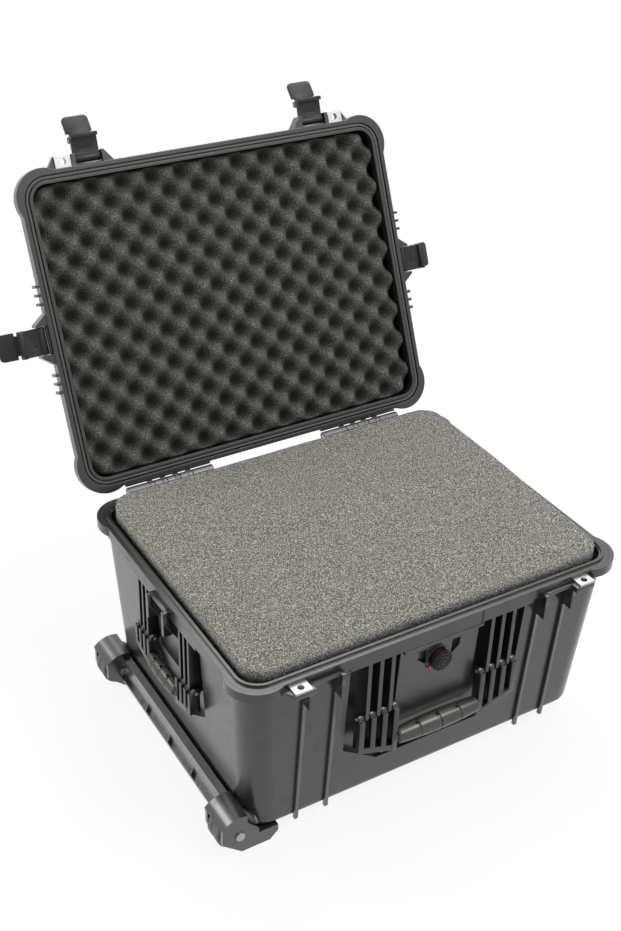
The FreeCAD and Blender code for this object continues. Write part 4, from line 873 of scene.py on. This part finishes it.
@dataclass
class Fittings:
    """Latches, catches and handles with their moulded edges rounded."""

    wardrobe: Wardrobe
    bodies: dict
    lid_open: Matrix
    latch_edge: float = 1.1 * MM
    handle_edge: float = 0.9 * MM
    catch_edge: float = 1.0 * MM
    pivot: Triple = (0.0, -9.0 * MM, 13.0 * MM)
    open_angle: float = -85.0
    slot_floor: Triple = (0.0, -9.0 * MM, 0.0)
    slot_size: Triple = (16.6 * MM, 2.4 * MM, 4.6 * MM)
    skirt_place: Triple = (23.0 * MM, -2.4 * MM, -37.0 * MM)
    skirt_size: Triple = (5.8 * MM, 15.0 * MM, 22.0 * MM)

    def build(self) -> None:
        """Round the edges of each fitting."""
        places = [name for name in frame["nodes"] if name.startswith("latch_frame_")]
        for place in (name.removeprefix("latch_frame_") for name in places):
            self.soften(f"latch_frame_{place}", self.latch_edge, Slot.MOULDING, [self.slot_plug(place)])
            self.soften(f"latch_lever_{place}", self.latch_edge, Slot.MOULDING)
            self.soften(f"latch_catch_{place}", self.catch_edge, Slot.SHELL, self.skirts(place))
        for side in ("front", "left", "right"):
            self.soften(f"handle_{side}", self.handle_edge, Slot.SHELL)

    def rim_frame(self, place: str) -> Matrix:
        """Frame of a latch's place on the rim.

        Args:
            place: Which latch.

        Returns:
            Matrix to the row frame with the lid shut.
        """
        along = {"front_left": -LATCH_PLACE, "front_right": LATCH_PLACE}.get(place, 0.0)
        return wall_frame(place.split("_")[0]) @ Matrix.Translation((along, 0, RIM.z))

    def skirts(self, place: str) -> list[Matrix]:
        """Blocks that square off the lower ends of a catch's two brackets.

        Args:
            place: Which latch.

        Returns:
            Places and sizes of the blocks.
        """
        across, deep, high = self.skirt_place
        size = Matrix.Diagonal((*self.skirt_size, 1.0))
        wall = self.rim_frame(place)
        return [wall @ Matrix.Translation((hand * across, deep, high)) @ size for hand in (-1, 1)]

    def slot_plug(self, place: str) -> Matrix:
        """Block that closes the back of a latch frame's slot.

        Args:
            place: Which latch.

        Returns:
            Place and size of the block at rest.
        """
        wall = self.rim_frame(place)
        centre = Vector(self.pivot)
        swing = Matrix.Rotation(math.radians(self.open_angle), 4, "X")
        opened = Matrix.Translation(centre) @ swing @ Matrix.Translation(-centre)
        block = Matrix.Translation(self.slot_floor) @ Matrix.Diagonal((*self.slot_size, 1.0))
        return self.lid_open @ wall @ opened @ block

    def soften(self, node: str, width: float, slot: Slot, plugs: Sequence[Matrix] = ()) -> None:
        """Replace one node by a copy with rounded edges.

        Args:
            node: CAD node.
            width: Width of the rounding.
            slot: Slot whose finish it takes.
            plugs: Places and sizes of blocks that close slots or fill out corners.
        """
        piece = rounded_copy(node, f"{node}_moulded", width, plugs)
        body = next(body for body, nodes in self.bodies.items() if node in nodes)
        self.wardrobe.fit(piece, slot, body, node)


@dataclass
class Grips:
    """Barrel-shaped grips of the three fold-down handles, in four grooved lengths."""

    wardrobe: Wardrobe
    end_radius: float = 10.6 * MM
    middle_radius: float = 13.6 * MM
    side_share: float = 0.8
    groove: float = 1.7 * MM
    groove_depth: float = 1.5 * MM
    pocket: float = 4.6 * MM
    pocket_depth: float = 3.0 * MM
    fillet: float = 2.6 * MM
    step: float = 0.75 * MM
    groove_places: tuple[float, ...] = (-0.5, 0.0, 0.5)
    pocket_angle: float = 82.0
    pocket_spread: float = 11.0
    end_gap: float = 0.3 * MM

    def build(self) -> None:
        """Build the three grips."""
        for side, axis in (("front", (1, 0, 0)), ("left", (0, -1, 0)), ("right", (0, 1, 0))):
            self.barrel(side, Vector(axis))

    def radius(self, along: float, half: float) -> float:
        """Radius of the barrel at a length.

        Args:
            along: Length from the middle.
            half: Half the barrel's length.

        Returns:
            Radius in metres.
        """
        radius = self.end_radius + (self.middle_radius - self.end_radius) * (1 - (along / half) ** 2)
        for share in self.groove_places:
            radius -= self.groove_depth * math.exp(-((along - share * half) / (0.5 * self.groove)) ** 4)
        left = half - abs(along)
        if left < self.fillet:
            radius -= self.fillet - math.sqrt(max(0.0, self.fillet ** 2 - (self.fillet - left) ** 2))
        return radius

    def barrel(self, side: str, axis: Vector) -> None:
        """Build one grip.

        Args:
            side: Wall of the case.
            axis: Direction along the grip, left to right as seen from outside.
        """
        node = f"handle_grip_{side}"
        low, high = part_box(node)
        half = abs((high - low).dot(axis)) / 2 - self.end_gap
        count = round(2 * half / self.step)
        lengths = [-half + 2 * half * number / count for number in range(count + 1)]
        share = 1.0 if side == "front" else self.side_share
        profile = [(along, share * self.radius(along, half)) for along in lengths]

        def carved(angle: float, radius: float, along: float) -> float:
            return radius - self.sunk(along, half, angle)

        piece = turned(f"{node}_barrel", (low + high) / 2, axis, profile, carved, limit=40.0)
        self.wardrobe.fit(piece, Slot.GRIP, f"handle_{side}", node)

    def sunk(self, along: float, half: float, angle: float) -> float:
        """Depth of the small square pockets on the barrel's upper side.

        Args:
            along: Length from the middle.
            half: Half the barrel's length.
            angle: Angle round the barrel from its outward side.

        Returns:
            Depth in metres.
        """
        if abs(angle - math.radians(self.pocket_angle)) > math.radians(self.pocket_spread):
            return 0.0
        for share in self.groove_places:
            if 0.0 < share * half - along - 0.8 * self.groove < self.pocket:
                return self.pocket_depth
        return 0.0


@dataclass
class Valve:
    """Pressure valve: ringed knob with a notched rim, over a red seal whose tab shows."""

    wardrobe: Wardrobe
    sides: int = 208
    notches: int = 26
    notch_share: float = 0.35
    notch_depth: float = 0.8 * MM
    seal_share: float = 0.8
    seal_bore: float = 0.6
    tab_radius: float = 21.0 * MM
    tab_angle: float = 318.0
    tab_half: float = 20.0
    shape: Profile = (
        (0.0, 0.3), (0.0, 0.97), (0.06, 1.0), (0.5, 1.0), (0.56, 0.97), (0.56, 0.9), (0.44, 0.89),
        (0.44, 0.83), (0.72, 0.82), (0.78, 0.79), (0.78, 0.72), (0.66, 0.71), (0.66, 0.62), (0.9, 0.6),
        (0.95, 0.57), (0.95, 0.46), (0.82, 0.45), (0.82, 0.34), (1.0, 0.32), (1.0, 0.16), (0.9, 0.15),
        (0.9, 0.02),
    )

    def build(self) -> None:
        """Build the knob and the seal."""
        self.knob()
        self.seal()

    def knob(self) -> None:
        """Replace the plain cap by a ringed knob."""
        low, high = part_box("valve_cap")
        rim = (high.x - low.x) / 2
        profile = [(share * (high.y - low.y), part * rim) for share, part in self.shape]

        def notched(angle: float, radius: float, along: float) -> float:
            notch = radius > 0.98 * rim and math.cos(self.notches * angle) > self.notch_share
            return radius - self.notch_depth if notch else radius

        self.turn("valve_knob", "valve_cap", Slot.MOULDING, profile, notched, self.sides)

    def seal(self) -> None:
        """Replace the plain seal ring by one with a pull tab."""
        low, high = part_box("valve_seal")
        rim = self.seal_share * (high.x - low.x) / 2
        inner = self.seal_bore * rim
        deep = high.y - low.y
        profile = [
            (0.0, inner), (0.0, 0.97 * rim), (0.2 * deep, rim), (0.8 * deep, rim), (deep, 0.97 * rim),
            (deep, inner), (0.0, inner)]

        def tabbed(angle: float, radius: float, along: float) -> float:
            near = max(0.0, 1.0 - ((math.degrees(angle) - self.tab_angle) / self.tab_half) ** 4)
            return radius + (self.tab_radius - rim) * near if radius > 0.9 * rim else radius

        self.turn("valve_seal_ring", "valve_seal", Slot.SEAL_RED, profile, tabbed)

    def turn(
        self, name: str, node: str, slot: Slot, profile: Profile, spread: Spread, count: int = 96,
    ) -> None:
        """Turn one piece about the valve's axis and set it in the base.

        Args:
            name: Name of the piece.
            node: CAD node that it replaces.
            slot: Slot whose finish it takes.
            profile: Pairs of length along the axis and radius.
            spread: Radius at an angle.
            count: Steps round the axis.
        """
        low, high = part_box(node)
        centre = Vector(((low.x + high.x) / 2, high.y, (low.z + high.z) / 2))
        piece = turned(name, centre, Vector((0, -1, 0)), profile, spread, count)
        self.wardrobe.fit(piece, slot, "base", node)


@dataclass
class Gasket:
    """Soft bead that stands in the lid's rim groove."""

    wardrobe: Wardrobe
    lid_open: Matrix
    half_x: float = 283.0 * MM
    half_y: float = 216.5 * MM
    corner: float = 30.5 * MM
    half_width: float = 2.2 * MM
    height: float = 6.3 * MM
    pressed: float = 4.0 * MM
    crown: float = 1.6 * MM
    crown_steps: int = 12
    corner_steps: int = 16

    def path(self) -> list[tuple[Vector, Vector]]:
        """Points round the rim, each with its outward direction.

        Returns:
            Pairs of point and direction.
        """
        points = []
        for quarter, (right, back) in enumerate(((1, 1), (-1, 1), (-1, -1), (1, -1))):
            middle = Vector((right * (self.half_x - self.corner), back * (self.half_y - self.corner), 0))
            for number in range(self.corner_steps + 1):
                angle = math.pi / 2 * (quarter + number / self.corner_steps)
                outward = Vector((math.cos(angle), math.sin(angle), 0))
                points.append((middle + self.corner * outward, outward))
        return points

    def build(self) -> None:
        """Build the bead and set it in the lid."""
        shut = self.lid_open.inverted()
        high = max((shut @ point.co).z for point in frame["nodes"]["lid_gasket"].data.vertices)
        low = high - self.height
        turns = [math.pi * step / self.crown_steps for step in range(self.crown_steps + 1)]
        bead = [
            (-self.half_width * math.cos(turn), low + self.crown * (1 - math.sin(turn))) for turn in turns]
        section = [(-self.half_width, high), *bead, (self.half_width, high)]
        mesh = bmesh.new()
        rings = [
            [mesh.verts.new(point + across * outward + Vector((0, 0, height))) for across, height in section]
            for point, outward in self.path()]
        bridge(mesh, [*rings, rings[0]], capped=False)
        piece = new_piece("lid_gasket_bead", mesh)
        piece.data.transform(self.lid_open)
        self.wardrobe.fit(piece, Slot.SEAL, "lid", "lid_gasket")
        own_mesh(piece)


@dataclass
class RimWebs:
    """Thin moulded webs that close the lid's gaps at its hinges and behind its latches."""

    wardrobe: Wardrobe
    lid_open: Matrix
    hinge_place: float = 164.0 * MM
    hinge_half: float = 68.0 * MM
    hinge_low: Pair = (225.4 * MM, 284.0 * MM)
    hinge_high: Pair = (229.6 * MM, 289.4 * MM)
    latch_half: float = 19.8 * MM
    latch_low: Pair = (-2.6 * MM, 288.0 * MM)
    latch_high: Pair = (0.5 * MM, 298.5 * MM)
    edge: float = 0.7 * MM

    def build(self) -> None:
        """Build the webs as one moulding of the lid."""
        hinge = (self.hinge_half, self.hinge_low, self.hinge_high)
        latch = (self.latch_half, self.latch_low, self.latch_high)
        mesh = bmesh.new()
        for hand in (-1, 1):
            self.web(mesh, Matrix.Translation((hand * self.hinge_place, 0, 0)), *hinge)
            self.web(mesh, wall_frame("front") @ Matrix.Translation((hand * LATCH_PLACE, 0, 0)), *latch)
        for side in ("left", "right"):
            self.web(mesh, wall_frame(side), *latch)
        bevel(mesh, mesh.edges[:], self.edge)
        piece = new_piece("lid_rim_webs", mesh)
        piece.data.transform(self.lid_open)
        self.wardrobe.fit(piece, Slot.SHELL, "lid")

    @staticmethod
    def web(
        mesh: Mesh, place: Matrix, half: float, low: Sequence[float], high: Sequence[float],
    ) -> None:
        """Add one web.

        Args:
            mesh: Working mesh.
            place: Frame of the web.
            half: Half its length.
            low: Its least depth and height.
            high: Its greatest depth and height.
        """
        centre = (0, (low[0] + high[0]) / 2, (low[1] + high[1]) / 2)
        size = Matrix.Diagonal((2 * half, high[0] - low[0], high[1] - low[1], 1.0))
        bmesh.ops.create_cube(mesh, size=1.0, matrix=place @ Matrix.Translation(centre) @ size)


@dataclass
class PanCurves:
    """Soft curves by which the panels behind the handles run down into their bays."""

    wardrobe: Wardrobe
    back: float = 26.0 * MM
    front: tuple[float, float, float, float] = (62.0 * MM, 142.0 * MM, 15.14 * MM, 28.0 * MM)
    side: tuple[float, float, float, float] = (36.0 * MM, 171.0 * MM, 13.49 * MM, 20.0 * MM)
    tuck: float = 0.3 * MM
    steps: int = 14

    def build(self) -> None:
        """Build the three curves."""
        for side in ("front", "left", "right"):
            self.curve(side, *(self.front if side == "front" else self.side))

    def curve(self, side: str, half: float, top: float, face: float, drop: float) -> None:
        """Build one curve.

        Args:
            side: Wall of the case.
            half: Half the panel's width.
            top: Height of the panel's lower end.
            face: Depth of the panel there.
            drop: Height of the curve.
        """
        shares = [number / self.steps for number in range(self.steps + 1)]
        outline = [(face + (self.back - face) * t * t * (3 - 2 * t), top - drop * t) for t in shares]
        outline += [(self.back + self.tuck, top - drop), (self.back + self.tuck, top)]
        mesh = bmesh.new()
        rings = [[mesh.verts.new((x, depth, height)) for depth, height in outline] for x in (-half, half)]
        bridge(mesh, rings)
        piece = new_piece(f"handle_pan_{side}_curve", mesh)
        piece.data.transform(wall_frame(side))
        # Painted shade: the curves take the darker, less glossy fitting finish rather than the shell's, so the
        # bottom of each bay reads as shaded.
        self.wardrobe.fit(piece, Slot.MOULDING, "base")


@dataclass
class Wheels:
    """Two moulded wheels with dished sides and a grooved tread."""

    wardrobe: Wardrobe
    dish: float = 2.2 * MM
    groove: float = 1.2 * MM
    hub: float = 2.5 * MM
    hub_foot: float = 4.5 * MM
    bore_gap: float = 0.05 * MM

    def build(self) -> None:
        """Build both wheels."""
        for word in ("front", "rear"):
            self.wheel(word)

    def wheel(self, word: str) -> None:
        """Build one wheel.

        Args:
            word: Which wheel.
        """
        node = f"wheel_{word}"
        low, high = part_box(node)
        radius = (high.z - low.z) / 2
        half = (high.y - low.y) / 2
        low_b, high_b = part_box(f"wheel_bearings_{word}")
        bore = (high_b.z - low_b.z) / 2 + self.bore_gap
        side = [
            (half, bore), (half, bore + self.hub), (half - self.dish, bore + self.hub_foot),
            (half - self.dish, 0.72 * radius), (half, 0.8 * radius), (0.95 * half, 0.95 * radius),
            (0.84 * half, radius), (0.3 * half, radius), (0.24 * half, radius - self.groove),
            (0.1 * half, radius - self.groove)]
        profile = [(-along, reach) for along, reach in side] + side[::-1]
        profile.append(profile[0])
        piece = turned(f"{node}_tyre", (low + high) / 2, Vector((0, 1, 0)), profile)
        self.wardrobe.fit(piece, Slot.WHEEL, node, node)


@dataclass(frozen=True)
class Lamp:
    """One soft box."""

    name: str
    place: Triple
    aim: Triple
    size: Pair
    power: float

    def hang(self) -> None:
        """Hang the lamp at its place, facing its aim."""
        data = bpy.data.lights.new(self.name, "AREA")
        data.shape = "RECTANGLE"
        data.size, data.size_y = self.size
        data.energy = self.power
        item = bpy.data.objects.new(self.name, data)
        item.location = self.place
        item.rotation_euler = (Vector(self.aim) - Vector(self.place)).to_track_quat("-Z", "Y").to_euler()
        bpy.context.scene.collection.objects.link(item)


LAMPS = (
    Lamp("key", (1.2, -1.5, 2.9), (0.0, 0.1, 0.3), (1.4, 1.2), 60.0),
    Lamp("top", (0.7, 0.9, 2.7), (0.0, 0.0, 0.3), (2.6, 2.2), 70.0),
    Lamp("left_wall", (-2.4, 0.1, 0.9), (-0.3, 0.0, 0.2), (1.2, 1.6), 14.0),
    Lamp("rear_left", (-1.5, 1.7, 2.1), (-0.25, 0.0, 0.1), (1.0, 1.0), 24.0),
)


@dataclass
class Studio:
    """Camera, floor and lamps."""

    focal_px: float = 1344.15
    image: tuple[int, int] = (621, 931)
    centre: Pair = (310.73, 465.62)
    azimuth: float = -31.67
    elevation: float = 32.70
    roll: float = 1.87
    eye: Triple = (-0.8513, -1.2639, 1.3686)
    sensor: float = 36.0
    sight: float = 100.0
    room_light: float = 0.35
    floor_half: float = 30.0
    floor_drop: float = 0.0005
    floor_tone: Colour = (0.85, 0.85, 0.85)
    near_glow: float = 0.9
    glow_reach: Pair = (0.35, 1.3)

    def axes(self) -> tuple[Vector, Vector, Vector]:
        """Right, up and back directions of the camera.

        Returns:
            Three unit vectors.
        """
        az, el, roll = (math.radians(angle) for angle in (self.azimuth, self.elevation, self.roll))
        back = Vector((math.sin(az) * math.cos(el), -math.cos(az) * math.cos(el), math.sin(el)))
        right = (-back).cross(Vector((0, 0, 1))).normalized()
        up = right.cross(-back)
        return (
            math.cos(roll) * right + math.sin(roll) * up,
            -math.sin(roll) * right + math.cos(roll) * up,
            back,
        )

    def camera(self) -> None:
        """Set the camera where the photograph was taken."""
        data = bpy.data.cameras.new("camera")
        data.sensor_width = self.sensor
        data.lens = self.focal_px * data.sensor_width / max(self.image)
        data.clip_end = self.sight
        item = bpy.data.objects.new("camera", data)
        right, up, back = self.axes()
        turn = Matrix((right, up, back)).transposed().to_4x4()
        item.matrix_world = Matrix.Translation(self.eye) @ turn
        bpy.context.scene.collection.objects.link(item)
        bpy.context.scene.camera = item

    @staticmethod
    def seen(tree: Tree) -> Wire:
        """Test for camera, glossy and transmission rays.

        Args:
            tree: Node tree to add it to.

        Returns:
            Value that is 1 for those rays.
        """
        total = tree.node("ShaderNodeLightPath", out="Is Camera Ray")
        for name in ("Is Glossy Ray", "Is Transmission Ray"):
            ray = tree.node("ShaderNodeLightPath", out=name)
            total = tree.node("ShaderNodeMath", {"operation": "MAXIMUM"}, {0: total, 1: ray})
        return total

    def world(self) -> None:
        """Light the room evenly, white where the camera sees it."""
        world = bpy.data.worlds.new("room")
        bpy.context.scene.world = world
        world.use_nodes = True
        tree = Tree(world.node_tree)
        dim = tree.node("ShaderNodeBackground", {}, {1: self.room_light})
        white = tree.node("ShaderNodeBackground", {}, {0: (1, 1, 1, 1)})
        blend = tree.node("ShaderNodeMixShader", {}, {0: self.seen(tree), 1: dim, 2: white})
        tree.end("ShaderNodeOutputWorld", blend)

    def floor(self) -> None:
        """Lay a wide pale floor that keeps a faint shadow."""
        mesh = bmesh.new()
        bmesh.ops.create_grid(mesh, x_segments=1, y_segments=1, size=self.floor_half)
        item = new_piece("floor", mesh, limit=None)
        item.location.z = -self.floor_drop
        graph = Graph("pale_floor")
        pale = graph.node("ShaderNodeBsdfDiffuse", {}, {0: rgba(self.floor_tone)})
        glow = graph.node("ShaderNodeEmission")
        away = graph.node("ShaderNodeVectorMath", {"operation": "LENGTH"}, {0: graph.place()}, 1)
        bright = self.near_glow + (1.0 - self.near_glow) * away.ramp(*self.glow_reach)
        blend = graph.node("ShaderNodeMixShader", {}, {0: self.seen(graph) * bright, 1: pale, 2: glow})
        graph.end("ShaderNodeOutputMaterial", blend)
        item.data.materials.append(graph.material)

    def build(self) -> None:
        """Set the whole stage."""
        bpy.context.scene.view_settings.view_transform = "Standard"
        self.camera()
        self.world()
        self.floor()
        for lamp in LAMPS:
            lamp.hang()


def lid_swing(joints: list) -> Matrix:
    """Matrix that swings the lid from shut to its rest place.

    Args:
        joints: Joints of the part.

    Returns:
        The matrix in the row frame.
    """
    hinge = next(joint for joint in joints if joint["name"] == "lid_hinge")
    centre = Vector(hinge["pos_m"])
    turn = Matrix.Rotation(-math.radians(hinge["range_deg"][1]), 4, Vector(hinge["axis"]))
    return Matrix.Translation(centre) @ turn @ Matrix.Translation(-centre)


def main() -> None:
    """Build every piece in order."""
    logging.basicConfig(level=logging.INFO, format="%(message)s")
    wardrobe = Wardrobe(frame["record"])
    wardrobe.dress_nodes(frame["nodes"])
    lid_open = lid_swing(frame["joints"])
    Foam(wardrobe, lid_open).build()
    Gasket(wardrobe, lid_open).build()
    Fittings(wardrobe, frame["record"]["behaviour"]["bodies"], lid_open).build()
    Grips(wardrobe).build()
    Valve(wardrobe).build()
    Wheels(wardrobe).build()
    RimWebs(wardrobe, lid_open).build()
    PanCurves(wardrobe).build()
    Studio().build()


if __name__ == "__main__":
    main()
